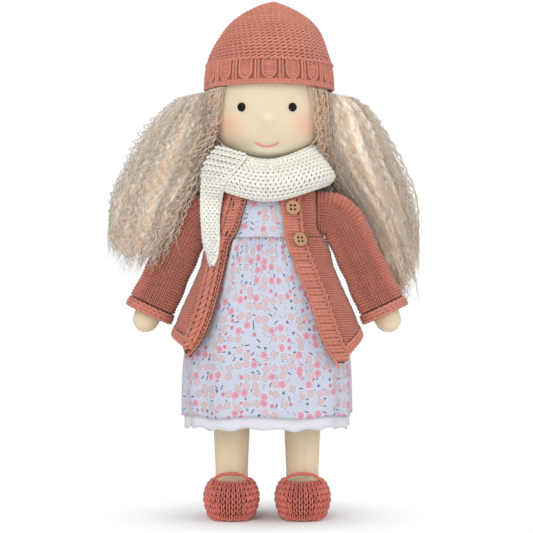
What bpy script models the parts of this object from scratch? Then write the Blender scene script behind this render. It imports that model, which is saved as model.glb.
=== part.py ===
"""A stuffed cloth doll, 400 mm tall, in a knitted hat, scarf, cardigan and shoes and a flowered dress.

The origin is on the floor under the middle of the doll. +Z is up, the face looks along -Y, and left and
right are the doll's own, so its left arm is at +X. All sizes are in metres.
"""

import math

import bmesh
import bpy
from mathutils import Matrix, Vector

# Clearances
GAP = 0.0003
CLOTH_GAP = 0.0005
CARDIGAN_EASE = 0.0015
SLEEVE_CLEARANCE = 0.0005
SEAM_HALF_GAP = 0.0002

# Cloth and skin
SKIN_THICKNESS = 0.0008
HEAD_SKIN_THICKNESS = 0.0012
BODICE_THICKNESS = 0.0012
SKIRT_THICKNESS = 0.0012
UNDERSKIRT_THICKNESS = 0.0008
CARDIGAN_THICKNESS = 0.0025
SLEEVE_THICKNESS = 0.0024
BAND_PROUD = 0.0010

# Stuffed body
HIP_HEIGHT = 0.162
TORSO_LENGTH = 0.1125
TORSO_HALF_WIDTH = 0.0368
TORSO_HALF_DEPTH = 0.0260
NECK_RADIUS = 0.0165
HIP_CORD_RADIUS = 0.0008
HIP_SEAM_HALF_DEPTH = 0.0011
SHOULDER_DROP = 0.0389
WAIST_DROP = 0.0588
BODY_POWER = 2.3
# share of the torso's length above the hips, then half-width and half-depth as shares of the chest's
TORSO_ROWS = (
    (0.100, 1.087, 0.365),
    (0.226, 1.128, 0.846),
    (0.361, 1.046, 1.000),
    (0.514, 1.000, 1.019),
    (0.676, 1.000, 1.000),
    (0.784, 0.924, 0.885),
    (0.874, 0.652, 0.731),
)
NECK_START = 0.946

# Head
HEAD_RADIUS = 0.0454
HEAD_RISE = 0.0466
CHIN_DROP = 0.0456
CROWN_RISE = 0.0640
CHIN_POWER = 2.3
CROWN_POWER = 2.1
CROWN_STEP = math.radians(14.6)
NOSE_HEIGHT = -0.0145
NOSE_PROUD = 0.0020
NOSE_RADIUS = 0.0055
EYE_RADIUS = 0.00325
EYE_SPREAD = 0.0194
EYE_HEIGHT = -0.0064
EYE_PROUD = 0.0014
# radius and rise, as shares of the eye's
EYE_ROWS = ((1.0, -0.8), (1.0, 0.35), (0.88, 0.72), (0.6, 0.94), (0.25, 1.0))
MOUTH_HALF_WIDTH = 0.0088
MOUTH_HEIGHT = -0.0330
MOUTH_DIP = 0.0028
MOUTH_THREAD_RADIUS = 0.0006
MOUTH_STANDOFF = 0.00036
NECK_THREAD_RADIUS = 0.0009

# Hair
WIG_CAP_THICKNESS = 0.0020
WIG_CAP_DROP = 0.0366
FACE_HALF_WIDTH = 0.0400
FACE_BACK = -0.0100
FACE_TOP = 0.0164
CAP_EDGE = 0.002
# height over the middle of the head, inner edge, outer edge, middle in depth, half-depth
LEFT_HAIR_ROWS = (
    (0.0119, 0.0400, 0.0550, 0.000, 0.0096),
    (-0.0011, 0.0385, 0.0755, -0.002, 0.0162),
    (-0.0211, 0.0380, 0.0885, 0.001, 0.0174),
    (-0.0361, 0.0385, 0.0960, 0.006, 0.0162),
    (-0.0638, 0.0527, 0.1080, 0.018, 0.0138),
    (-0.0790, 0.0658, 0.1135, 0.024, 0.0132),
    (-0.1064, 0.0800, 0.1195, 0.028, 0.0120),
    (-0.1337, 0.0930, 0.1175, 0.028, 0.0096),
    (-0.1506, 0.1020, 0.1090, 0.028, 0.0042),
)
RIGHT_HAIR_ROWS = (
    (0.0119, 0.0385, 0.0520, 0.000, 0.0096),
    (0.0019, 0.0370, 0.0700, -0.002, 0.0162),
    (-0.0211, 0.0370, 0.0912, -0.001, 0.0174),
    (-0.0365, 0.0486, 0.1000, -0.002, 0.0162),
    (-0.0598, 0.0522, 0.1115, -0.004, 0.0144),
    (-0.0790, 0.0618, 0.1190, -0.008, 0.0138),
    (-0.1064, 0.0719, 0.1220, -0.010, 0.0132),
    (-0.1236, 0.0790, 0.1205, -0.010, 0.0114),
    (-0.1331, 0.0880, 0.1120, -0.010, 0.0066),
)
# height over the middle of the head, half-width, middle behind the head's radius, half-depth
BACK_HAIR_ROWS = (
    (0.0099, 0.0330, -0.0034, 0.0063),
    (-0.0106, 0.0360, -0.0014, 0.0070),
    (-0.0361, 0.0360, -0.0024, 0.0077),
    (-0.0631, 0.0365, -0.0034, 0.0084),
    (-0.0911, 0.0360, -0.0054, 0.0084),
    (-0.1091, 0.0290, -0.0074, 0.0056),
)
HAIR_POWER = 2.6

# Hat
HAT_RIM_RISE = 0.0119
HAT_SLACK = 0.0129
HAT_BRIM_HEIGHT = 0.0185
HAT_BRIM_THICKNESS = 0.0041
HAT_THICKNESS = 0.0035
HAT_RIM_BEVEL = 0.0008
# share of the hat's height, and its radius as a share of the rim's
HAT_ROWS = (
    (0.0, 1.0),
    (0.116, 1.0),
    (0.291, 0.957),
    (0.410, 0.910),
    (0.534, 0.843),
    (0.670, 0.740),
    (0.791, 0.608),
    (0.900, 0.400),
    (0.964, 0.200),
    (1.000, 0.060),
)

# Arms
ARM_TILT = math.radians(25)
ARM_RADIUS = 0.0120
WRIST_RADIUS = 0.0098
HAND_RADIUS = 0.0104
HAND_LENGTH = 0.0145
# share of the hand's length, and its radius as a share of the hand's
HAND_ROWS = ((0.15, 0.98), (0.50, 1.00), (0.75, 0.86), (0.92, 0.56), (1.0, 0.25))
SLEEVE_RADIUS = 0.0178
SLEEVE_END_RADIUS = 0.0192
SLEEVE_LENGTH = 0.0742
# share of the sleeve's length below its bend, and share of its widening reached there
SLEEVE_ROWS = ((0.4, 0.0), (0.8, 0.5), (1.0, 1.0))
ELBOW_EASE = 0.0020
CUFF_LENGTH = 0.0070
CUFF_RADIUS = 0.0196
CUFF_RIM_RADIUS = 0.0182
CUFF_THICKNESS = 0.0032

# Legs and shoes
LEG_SPREAD = 0.0275
LEG_HALF_WIDTH = 0.0150
LEG_SEAM_HALF_DEPTH = 0.0010
LEG_SEAM_LEAST = 0.0004
ANKLE_RADIUS = 0.0125
ANKLE_HEIGHT = 0.035
# depth, forward tilt in degrees, share of the shoe's height under its top, then width and depth in ankles
INSTEP_ROWS = (
    (-0.0010, 30, 0.36, 1.04, 1.00),
    (-0.0080, 62, 0.46, 1.04, 0.92),
)
TOE_DEPTHS = (-0.0210, -0.0310, -0.0385)
# share of the leg's length below the hips, half-width and half-depth as shares of the thigh's half-width
LEG_ROWS = (
    (0.030, 1.020, 0.220),
    (0.079, 1.020, 0.480),
    (0.197, 1.000, 0.870),
    (0.433, 0.970, 0.950),
    (0.724, 0.940, 0.935),
)
SOLE_THICKNESS = 0.0030
SOLE_BEVEL = 0.0009
SOLE_INSET = 0.0045
SHOE_WALL = 0.0022
SHOE_POWER = 2.5
SHOE_HALF_WIDTH = 0.0204
SHOE_HEIGHT = 0.0262
# depth, then half-width and height as shares of the shoe's
SHOE_ROWS = (
    (0.0165, 0.42, 0.56),
    (0.0135, 0.76, 0.84),
    (0.0040, 0.96, 0.98),
    (-0.0100, 1.00, 1.00),
    (-0.0240, 0.98, 0.88),
    (-0.0350, 0.82, 0.70),
    (-0.0430, 0.50, 0.46),
)
SHOE_MOUTH_MIDDLE = -0.0035
SHOE_MOUTH_HALF_LENGTH = 0.0190
SHOE_MOUTH_HALF_WIDTH = 0.0142
SHOE_MOUTH_FLOOR = 0.0150
STRAP_RADIUS = 0.0022
STRAP_DEPTH = -0.0185
STRAP_HALF_SPAN = 0.0165
STRAP_RISE = 0.0310
STRAP_ARCH_POWER = 0.6

# Dress
BODICE_DROP = 0.0180
SKIRT_LENGTH = 0.1362
SKIRT_FLARE_WIDTH = 0.0271
SKIRT_FLARE_DEPTH = 0.0225
# share of the skirt's length below the waist, and share of the flare reached there
SKIRT_ROWS = ((0.0, 0.0), (0.10, 0.19), (0.19, 0.36), (0.41, 0.69), (0.56, 0.86), (0.74, 0.97), (1.0, 1.0))
SKIRT_FOLDS = 12
SKIRT_FOLD_DEPTH = 0.0012
UNDERSKIRT_TOP = 0.08
UNDERSKIRT_SHOWS = 0.0092

# Cardigan: drops are measured from the neck's top
NECKLINE_DROP = 0.0160
SIDE_HEM_DROP = 0.1331
FLARE_DROP = 0.0795
FLARE_SLOPE = 0.165
FLARE_DEPTH_SHARE = 0.45
BAND_WIDTH = 0.0120
BAND_HEM_RISE = 0.008
HEM_CURVE_POWER = 1.5
# drop from the neck's top, and distance of the front edge from the middle
LEFT_EDGE = (
    (0.0160, 0.0094),
    (0.0320, 0.0110),
    (0.0595, 0.0142),
    (0.0710, 0.0183),
    (0.0865, 0.0242),
    (0.1052, 0.0321),
    (0.1279, 0.0390),
    (0.1416, 0.0445),
    (0.1579, 0.0546),
)
RIGHT_EDGE = (
    (0.0160, 0.0138),
    (0.0306, 0.0160),
    (0.0407, 0.0194),
    (0.0518, 0.0220),
    (0.0619, 0.0286),
    (0.0788, 0.0320),
    (0.1109, 0.0397),
    (0.1236, 0.0439),
    (0.1389, 0.0506),
    (0.1495, 0.0600),
)
BUTTON_RADIUS = 0.0065
BUTTON_THICKNESS = 0.0028
BUTTON_RIM = 0.0012
BUTTON_DISH = 0.0008
BUTTON_BEVEL = 0.0006
BUTTON_HOLE_RADIUS = 0.0009
BUTTON_HOLE_SPREAD = 0.0015
BUTTON_STANDOFF = 0.0012
BUTTON_THREAD_RADIUS = 0.0005
# distance from the middle, and drop from the neck's top
UPPER_BUTTON_PLACE = (0.0190, 0.0359)
LOWER_BUTTON_PLACE = (0.0244, 0.0607)
BUTTONHOLE_PLACES = ((0.0260, 0.0330), (0.0310, 0.0555))
BUTTONHOLE_HEIGHT = 0.0060
BUTTONHOLE_WIDTH = 0.0014

# Scarf: radius, and height over the neck's top, down the outside and up the inside
SCARF_SIDE = (
    (0.0390, 0.0125),
    (0.0455, 0.0020),
    (0.0525, -0.0100),
    (0.0480, -0.0160),
    (0.0430, -0.0165),
    (0.0475, -0.0095),
    (0.0410, -0.0005),
    (0.0350, 0.0100),
)
SCARF_FRONT = (
    (0.0335, 0.0015),
    (0.0400, -0.0100),
    (0.0408, -0.0195),
    (0.0376, -0.0287),
    (0.0330, -0.0282),
    (0.0360, -0.0190),
    (0.0352, -0.0110),
    (0.0290, 0.0000),
)
SCARF_BACK = (
    (0.0375, 0.0100),
    (0.0430, -0.0020),
    (0.0440, -0.0120),
    (0.0410, -0.0210),
    (0.0365, -0.0200),
    (0.0395, -0.0120),
    (0.0385, -0.0035),
    (0.0335, 0.0065),
)
SCARF_OUTSIDE_POINTS = 4
TAIL_THICKNESS = 0.0040
# outer edge and height over the neck's top, then inner edge and height
TAIL_ROWS = (
    (-0.0370, 0.0115, -0.0155, 0.0045),
    (-0.0450, 0.0030, -0.0210, -0.0030),
    (-0.0490, -0.0070, -0.0280, -0.0110),
    (-0.0500, -0.0160, -0.0335, -0.0180),
    (-0.0505, -0.0280, -0.0352, -0.0290),
    (-0.0505, -0.0415, -0.0372, -0.0415),
    (-0.0490, -0.0615, -0.0373, -0.0615),
    (-0.0455, -0.0735, -0.0385, -0.0735),
    (-0.0430, -0.0810, -0.0410, -0.0810),
)

# Fineness
BODY_POINTS = 20
HEAD_POINTS = 24
LIMB_POINTS = 10
LEG_POINTS = 12
SLEEVE_POINTS = 14
SKIRT_POINTS = 3 * SKIRT_FOLDS
SCARF_POINTS = 24
HAIR_POINTS = 12
EYE_POINTS = 16
BUTTON_POINTS = 20
CHIN_RINGS = 6
CROWN_RINGS = 6
PANEL_HEIGHTS = 13
PANEL_COLUMNS = 7
SCARF_TRIES = 60
# rings of the guides that the hair is cut with: shares of the hat's height, drops from the neck's top
HAT_GUIDE_SHARES = (-0.004, 0.16, 0.25, 0.46, 0.67, 0.934)
CARDIGAN_GUIDE_DROPS = (0.002, 0.0130, 0.0213, 0.0336, 0.0558, 0.0800, 0.1000)

# Heights and places that follow from the sizes above
NECK_TOP = HIP_HEIGHT + TORSO_LENGTH
HEAD_MIDDLE = NECK_TOP + HEAD_RISE
CROWN_TOP = HEAD_MIDDLE + CROWN_RISE
SHOULDER_HEIGHT = NECK_TOP - SHOULDER_DROP
WAIST_HEIGHT = NECK_TOP - WAIST_DROP
SKIRT_HEM = WAIST_HEIGHT - SKIRT_LENGTH
HAT_RIM = HEAD_MIDDLE + HAT_RIM_RISE
HAT_TOP = CROWN_TOP + WIG_CAP_THICKNESS + HAT_SLACK
HIP_SEAM_RISE = HIP_CORD_RADIUS + GAP
BODICE_OUT = GAP + BODICE_THICKNESS
CARDIGAN_OUT = CARDIGAN_EASE + CARDIGAN_THICKNESS
ARMHOLE_RADIUS = SLEEVE_RADIUS + SLEEVE_CLEARANCE

# Colours
CREAM = (0.80, 0.66, 0.47)
WOOL = (0.86, 0.80, 0.66)
TERRACOTTA = (0.40, 0.13, 0.10)
WHITE_KNIT = (0.82, 0.80, 0.74)
BLOND = (0.65, 0.50, 0.39)
DRESS = (0.68, 0.61, 0.70)
WHITE_CLOTH = (0.80, 0.80, 0.86)
BLACK = (0.01, 0.01, 0.01)
PINK = (0.70, 0.20, 0.22)
WOOD = (0.50, 0.28, 0.14)
DARK_THREAD = (0.05, 0.03, 0.03)
CREAM_THREAD = (0.75, 0.65, 0.50)


def clear_scene():
    for old in list(bpy.data.objects):
        bpy.data.objects.remove(old)


def material(name, colour, roughness=0.9, metallic=0.0):
    """The Principled material of one kind of cloth, made once."""
    found = bpy.data.materials.get(name)
    if found:
        return found
    made = bpy.data.materials.new(name)
    made.use_nodes = True
    shader = made.node_tree.nodes["Principled BSDF"]
    shader.inputs["Base Color"].default_value = (*colour, 1.0)
    shader.inputs["Roughness"].default_value = roughness
    shader.inputs["Metallic"].default_value = metallic
    return made


def pivot(name, place):
    """An empty on a joint's axis, which carries the pieces that turn there."""
    empty = bpy.data.objects.new(name, None)
    empty.location = place
    bpy.context.collection.objects.link(empty)
    return empty


def finish(name, bm, finish_material, parent=None):
    """Turns a bmesh in world places into a named object."""
    bmesh.ops.recalc_face_normals(bm, faces=bm.faces)
    bmesh.ops.triangulate(bm, faces=bm.faces, quad_method="FIXED")
    mesh = bpy.data.meshes.new(name)
    bm.to_mesh(mesh)
    bm.free()
    mesh.shade_smooth()
    mesh.set_sharp_from_angle(angle=math.radians(45))
    made = bpy.data.objects.new(name, mesh)
    bpy.context.collection.objects.link(made)
    if finish_material:
        made.data.materials.append(finish_material)
    if parent:
        made.parent = parent
        made.matrix_parent_inverse = Matrix.Translation(-parent.location)
    return made


def carve(target, cutter, operation="DIFFERENCE"):
    """Cuts one object with another, which is kept as a wire guide."""
    cutter.hide_render = True
    cutter.display_type = "WIRE"
    cut = target.modifiers.new(f"{operation.lower()} {cutter.name}", "BOOLEAN")
    cut.operation = operation
    cut.object = cutter


def value_at(rows, where, column=1):
    """The value of a table at one place, on the straight lines between its rows."""
    rows = sorted(rows)
    if where <= rows[0][0]:
        return rows[0][column]
    for low, high in zip(rows, rows[1:]):
        if where <= high[0]:
            share = (where - low[0]) / (high[0] - low[0])
            return low[column] + share * (high[column] - low[column])
    return rows[-1][column]


def rounded(angle, power):
    """A point of the unit outline between an ellipse and a box."""
    c, s = math.cos(angle), math.sin(angle)
    return (
        math.copysign(abs(c) ** (2 / power), c),
        math.copysign(abs(s) ** (2 / power), s),
    )


def level_ring(half_width, half_depth, height, count, power=BODY_POWER, x=0.0, y=0.0):
    ring = []
    for i in range(count):
        across, along = rounded(2 * math.pi * i / count, power)
        ring.append(Vector((x + half_width * across, y + half_depth * along, height)))
    return ring


def add_rings(bm, rings, closed=False):
    """Skins a row of rings and gives back their vertices."""
    made = [[bm.verts.new(point) for point in ring] for ring in rings]
    pairs = list(zip(made, made[1:]))
    if closed:
        pairs.append((made[-1], made[0]))
    for first, second in pairs:
        for i in range(len(first)):
            j = (i + 1) % len(first)
            bm.faces.new((first[i], first[j], second[j], second[i]))
    return made


def join_rings(bm, first, second):
    for i in range(len(first)):
        j = (i + 1) % len(first)
        bm.faces.new((first[i], first[j], second[j], second[i]))


def solid(rings):
    """A solid with a flat cap at each end."""
    bm = bmesh.new()
    made = add_rings(bm, rings)
    bm.faces.new(made[0])
    bm.faces.new(made[-1])
    return bm


def ring_solid(rings):
    """A closed hoop, whose last ring meets its first."""
    bm = bmesh.new()
    add_rings(bm, rings, closed=True)
    return bm


def pipe(outer, inner):
    """A wall that is open at both ends."""
    bm = bmesh.new()
    outside = add_rings(bm, outer)
    inside = add_rings(bm, inner)
    join_rings(bm, outside[0], inside[0])
    join_rings(bm, outside[-1], inside[-1])
    return bm


def sock(outer, inner):
    """A wall that is open at its first ring and closed at its last."""
    bm = bmesh.new()
    outside = add_rings(bm, outer)
    inside = add_rings(bm, inner)
    join_rings(bm, outside[0], inside[0])
    bm.faces.new(outside[-1])
    bm.faces.new(inside[-1])
    return bm


def slab(outer, inner):
    """A sheet with a thickness, from the rows of points of its two sides."""
    bm = bmesh.new()
    sides = []
    for rows in (outer, inner):
        made = [[bm.verts.new(point) for point in row] for row in rows]
        for first, second in zip(made, made[1:]):
            for i in range(len(first) - 1):
                bm.faces.new((first[i], first[i + 1], second[i + 1], second[i]))
        rim = made[0] + [row[-1] for row in made[1:]]
        rim += made[-1][-2::-1] + [row[0] for row in made[-2:0:-1]]
        sides.append(rim)
    join_rings(bm, *sides)
    return bm


def tube_along(points, radius, count=8):
    """A round cord through the points, closed at both ends."""
    rings = []
    for i, point in enumerate(points):
        before = points[max(i - 1, 0)]
        after = points[min(i + 1, len(points) - 1)]
        way = (after - before).normalized()
        side = way.cross(Vector((0, 0, 1)))
        if side.length < 0.1:
            side = way.cross(Vector((0, 1, 0)))
        side.normalize()
        up = side.cross(way)
        ring = []
        for k in range(count):
            angle = 2 * math.pi * k / count
            ring.append(point + radius * (math.cos(angle) * side + math.sin(angle) * up))
        rings.append(ring)
    return solid(rings)


# The outlines that the pieces share


def torso_size(height, more=0.0):
    """Half-width and half-depth of the stuffed body at a height, and some more for what lies over it."""
    rows = [(HIP_HEIGHT + HIP_SEAM_RISE, TORSO_HALF_WIDTH * 0.978, HIP_SEAM_HALF_DEPTH)]
    for share, width, depth in TORSO_ROWS:
        rows.append((HIP_HEIGHT + share * TORSO_LENGTH, width * TORSO_HALF_WIDTH, depth * TORSO_HALF_DEPTH))
    rows.append((HIP_HEIGHT + NECK_START * TORSO_LENGTH, NECK_RADIUS, NECK_RADIUS))
    return value_at(rows, height) + more, value_at(rows, height, 2) + more


def torso_heights():
    heights = [HIP_HEIGHT + HIP_SEAM_RISE]
    heights += [HIP_HEIGHT + row[0] * TORSO_LENGTH for row in TORSO_ROWS]
    return heights + [HIP_HEIGHT + NECK_START * TORSO_LENGTH]


def head_radius(height):
    rise = height - HEAD_MIDDLE
    reach, power = (CROWN_RISE, CROWN_POWER) if rise > 0 else (CHIN_DROP, CHIN_POWER)
    share = min(abs(rise) / reach, 1.0)
    return HEAD_RADIUS * (1 - share**power) ** (1 / power)


def head_profile(more, bottom):
    """Radius and height from the neck to the crown, with some more all round."""
    start = math.acos((NECK_RADIUS / HEAD_RADIUS) ** (CHIN_POWER / 2))
    profile = [(NECK_RADIUS + more, bottom)]
    for i in range(CHIN_RINGS + 1):
        angle = -start * (1 - i / CHIN_RINGS)
        across, along = rounded(angle, CHIN_POWER)
        profile.append((HEAD_RADIUS * across + more, HEAD_MIDDLE + (CHIN_DROP + more) * along))
    for i in range(1, CROWN_RINGS + 1):
        across, along = rounded(CROWN_STEP * i, CROWN_POWER)
        profile.append((HEAD_RADIUS * across + more, HEAD_MIDDLE + (CROWN_RISE + more) * along))
    return profile


def turned(profile, count=HEAD_POINTS):
    return [level_ring(radius, radius, height, count, 2.0) for radius, height in profile]


def skirt_size(height, more=0.0):
    """Half-width and half-depth of the skirt's outside."""
    width, depth = torso_size(WAIST_HEIGHT, BODICE_OUT + CLOTH_GAP)
    flare = value_at(SKIRT_ROWS, (WAIST_HEIGHT - height) / SKIRT_LENGTH)
    return width + SKIRT_FLARE_WIDTH * flare + more, depth + SKIRT_FLARE_DEPTH * flare + more


def skirt_ring(height, more=0.0):
    width, depth = skirt_size(height, more)
    reached = value_at(SKIRT_ROWS, (WAIST_HEIGHT - height) / SKIRT_LENGTH)
    ring = []
    for i in range(SKIRT_POINTS):
        angle = 2 * math.pi * (i + 0.5) / SKIRT_POINTS
        across, along = rounded(angle, BODY_POWER)
        fold = SKIRT_FOLD_DEPTH * reached * (math.cos(SKIRT_FOLDS * angle) - 1)
        ring.append(Vector(((width + fold) * across, (depth + fold) * along, height)))
    return ring


def cardigan_size(height, more=0.0):
    """Half-width and half-depth of the cardigan's outside."""
    if height >= WAIST_HEIGHT:
        width, depth = torso_size(height, BODICE_OUT + CARDIGAN_OUT)
        skirt_width, skirt_depth = skirt_size(WAIST_HEIGHT, CARDIGAN_OUT)
        near_waist = max(0.0, 1 - (height - WAIST_HEIGHT) / (SHOULDER_HEIGHT - WAIST_HEIGHT))
        width = max(width, near_waist * skirt_width)
        depth = max(depth, near_waist * skirt_depth)
    else:
        width, depth = skirt_size(height, CARDIGAN_OUT)
    flare = FLARE_SLOPE * max(0.0, NECK_TOP - FLARE_DROP - height)
    return width + flare + more, depth + FLARE_DEPTH_SHARE * flare + more


def cardigan_angle(x, height):
    """The angle, from the side towards the front, where the cardigan's outside is at x."""
    width, _ = cardigan_size(height)
    return math.acos(min(x / width, 1.0) ** (BODY_POWER / 2))


def cardigan_point(angle, height, side, more=0.0):
    width, depth = cardigan_size(height, more)
    across, along = rounded(angle, BODY_POWER)
    return Vector((side * width * across, -depth * along, height))


def cardigan_front(x, height, more=0.0):
    """How far forward the cardigan reaches at x, as a place along Y."""
    width, depth = cardigan_size(height, more)
    share = min(abs(x) / width, 1.0)
    return -depth * (1 - share**BODY_POWER) ** (1 / BODY_POWER)


def hat_radius(height):
    rim = head_radius(HAT_RIM) + WIG_CAP_THICKNESS + GAP + HAT_BRIM_THICKNESS
    return rim * value_at(HAT_ROWS, (height - HAT_RIM) / (HAT_TOP - HAT_RIM))


def sleeve_start():
    return torso_size(SHOULDER_HEIGHT)[0] + BODICE_OUT + GAP


def elbow():
    """Where the sleeve leaves the armhole's axis: the middle of its bend, and the bend's radius."""
    bend = SLEEVE_RADIUS + ELBOW_EASE
    beside = max(cardigan_size(SHOULDER_HEIGHT - ARMHOLE_RADIUS)[0], cardigan_size(SHOULDER_HEIGHT)[0])
    return beside + CLOTH_GAP, SHOULDER_HEIGHT - bend, bend


def arm_station(distance):
    """Middle, as x and height, and downward turn of the arm at a distance past its bend's start.

    A negative distance is on the armhole's axis. The bend is as long as its arc.
    """
    x, height, bend = elbow()
    full = math.pi / 2 - ARM_TILT
    if distance <= 0:
        return x + distance, SHOULDER_HEIGHT, 0.0
    turn = min(distance / bend, full)
    past = max(distance - bend * full, 0.0)
    middle_x = x + bend * math.sin(turn) + past * math.cos(full)
    middle_height = height + bend * math.cos(turn) - past * math.sin(full)
    return middle_x, middle_height, turn


def arm_ring(side, distance, radius, count=LIMB_POINTS):
    x, height, turn = arm_station(distance)
    ring = []
    for i in range(count):
        angle = 2 * math.pi * i / count
        out = radius * math.sin(angle)
        ring.append(
            Vector((
                side * (x + out * math.sin(turn)),
                radius * math.cos(angle),
                height + out * math.cos(turn),
            ))
        )
    return ring


def bend_length():
    return elbow()[2] * (math.pi / 2 - ARM_TILT)


def shoe_section(y, inset):
    """Half-width, lowest and highest point of the shoe at a depth, inside a wall."""
    width = SHOE_HALF_WIDTH * value_at(SHOE_ROWS, y) - inset
    low = SOLE_THICKNESS + GAP + inset
    high = SOLE_THICKNESS + GAP + SHOE_HEIGHT * value_at(SHOE_ROWS, y, 2) - inset
    return width, low, high


def shoe_ring(side, y, inset, count=LEG_POINTS):
    width, low, high = shoe_section(y, inset)
    ring = []
    for i in range(count):
        across, along = rounded(2 * math.pi * i / count, SHOE_POWER)
        height = (low + high) / 2 + (high - low) / 2 * along
        ring.append(Vector((side * LEG_SPREAD + width * across, y, height)))
    return ring


def shoe_surface(x, y):
    """Height of the shoe's outside at x from its middle."""
    width, low, high = shoe_section(y, 0.0)
    share = min(abs(x) / width, 1.0)
    return (low + high) / 2 + (high - low) / 2 * (1 - share**SHOE_POWER) ** (1 / SHOE_POWER)


# The stuffed body


def torso_rings(inset, bottom_inset, top):
    rings = []
    for height in torso_heights():
        width, depth = torso_size(height, -inset)
        power = 2.0 if height > HIP_HEIGHT + TORSO_ROWS[-1][0] * TORSO_LENGTH else BODY_POWER
        lifted = height + (bottom_inset if not rings else 0.0)
        rings.append(level_ring(width, max(depth, SKIN_THICKNESS / 2), lifted, BODY_POINTS, power))
    radius = NECK_RADIUS - inset
    rings.append(level_ring(radius, radius, top, BODY_POINTS, 2.0))
    return rings


def make_torso():
    skin = material("cream_jersey", CREAM)
    outer = torso_rings(0.0, 0.0, NECK_TOP)
    inner = torso_rings(SKIN_THICKNESS, SKIN_THICKNESS, NECK_TOP)
    finish("torso_skin", sock(outer[::-1], inner[::-1]), skin)
    inset = SKIN_THICKNESS + GAP
    stuffing = torso_rings(inset, 2 * SKIN_THICKNESS + GAP, NECK_TOP)
    finish("torso_stuffing", solid(stuffing[::-1]), material("wool_stuffing", WOOL))
    thread = NECK_RADIUS + GAP + NECK_THREAD_RADIUS
    middle = NECK_TOP - 2 * NECK_THREAD_RADIUS
    rings = []
    for i in range(HEAD_POINTS):
        turn = 2 * math.pi * i / HEAD_POINTS
        ring = []
        for k in range(6):
            angle = 2 * math.pi * k / 6
            reach = thread + NECK_THREAD_RADIUS * math.cos(angle)
            height = middle + NECK_THREAD_RADIUS * math.sin(angle)
            ring.append(Vector((reach * math.cos(turn), reach * math.sin(turn), height)))
        rings.append(ring)
    finish("neck_thread", ring_solid(rings), material("cream_thread", CREAM_THREAD))


def nose_ball(name, radius, parent):
    """A ball at the nose, which lifts the head's skin."""
    reach = head_radius(HEAD_MIDDLE + NOSE_HEIGHT) + NOSE_PROUD - NOSE_RADIUS
    bm = bmesh.new()
    place = Matrix.Translation((0, -reach, HEAD_MIDDLE + NOSE_HEIGHT))
    bmesh.ops.create_uvsphere(bm, u_segments=16, v_segments=10, radius=radius, matrix=place)
    return finish(name, bm, material("wool_stuffing", WOOL), parent)


def head_solid(name, more, bottom, parent, finish_material=None):
    return finish(name, solid(turned(head_profile(more, bottom))), finish_material, parent)


def make_head(turn):
    skin = material("face_jersey", CREAM)
    bottom = NECK_TOP + GAP
    below = bottom - 5 * GAP
    wall = HEAD_SKIN_THICKNESS
    head_skin = head_solid("head_skin", 0.0, bottom, turn, skin)
    carve(head_skin, nose_ball("nose_outside", NOSE_RADIUS, turn), "UNION")
    carve(head_skin, head_solid("head_hollow", -wall, below, turn))
    carve(head_skin, nose_ball("nose_pocket", NOSE_RADIUS - wall + GAP, turn))
    head_solid("head_stuffing", -wall - GAP, bottom, turn, material("wool_stuffing", WOOL))
    bead = nose_ball("nose_bead", NOSE_RADIUS - wall, turn)
    carve(bead, head_solid("bead_seat", -wall, below, turn))


def make_eye(name, side, turn):
    """A domed black button, which sits on the face."""
    height = HEAD_MIDDLE + EYE_HEIGHT
    reach = math.sqrt(head_radius(height) ** 2 - EYE_SPREAD**2)
    out = Vector((side * EYE_SPREAD, -reach, 0.0)).normalized()
    facing = out.to_track_quat("Z", "Y").to_matrix().to_4x4()
    place = Matrix.Translation((side * EYE_SPREAD, -reach, height)) @ facing
    rings = []
    for share, rise in EYE_ROWS:
        radius = EYE_RADIUS * share
        ring = level_ring(radius, radius, EYE_PROUD * rise, EYE_POINTS, 2.0)
        rings.append([place @ point for point in ring])
    eye = finish(name, solid(rings), material("black_bead", BLACK, 0.25), turn)
    carve(eye, bpy.data.objects["head_envelope"])


def make_mouth(turn):
    points = []
    for i in range(9):
        share = -1 + i / 4
        x = MOUTH_HALF_WIDTH * share
        height = HEAD_MIDDLE + MOUTH_HEIGHT - MOUTH_DIP * (1 - share**2)
        reach = head_radius(height) + GAP + MOUTH_THREAD_RADIUS + MOUTH_STANDOFF
        points.append(Vector((x, -math.sqrt(reach**2 - x**2), height)))
    finish("mouth_stitch", tube_along(points, MOUTH_THREAD_RADIUS, 6), material("pink_thread", PINK), turn)


def make_face(turn):
    head_solid("head_envelope", GAP, NECK_TOP, turn)
    make_eye("left_eye", 1, turn)
    make_eye("right_eye", -1, turn)
    make_mouth(turn)


# Hair and hat


def cap_profile(more):
    """The part of the head's outline that the wig cap covers."""
    low = HEAD_MIDDLE - WIG_CAP_DROP
    profile = [(head_radius(low) + more, low)]
    return profile + [row for row in head_profile(more, low) if row[1] > low + CAP_EDGE]


def make_wig_cap(turn):
    outer = turned(cap_profile(WIG_CAP_THICKNESS))
    inner = turned(cap_profile(CLOTH_GAP))
    cap = finish("wig_cap", sock(outer, inner), material("blond_net", BLOND), turn)
    bm = bmesh.new()
    depth = 2 * HEAD_RADIUS
    size = Matrix.Diagonal((2 * FACE_HALF_WIDTH, depth, 2 * HEAD_RADIUS, 1.0))
    place = Matrix.Translation((0, FACE_BACK - depth / 2, HEAD_MIDDLE + FACE_TOP - HEAD_RADIUS))
    bmesh.ops.create_cube(bm, size=1.0, matrix=place @ size)
    carve(cap, finish("face_window", bm, None, turn))


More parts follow.
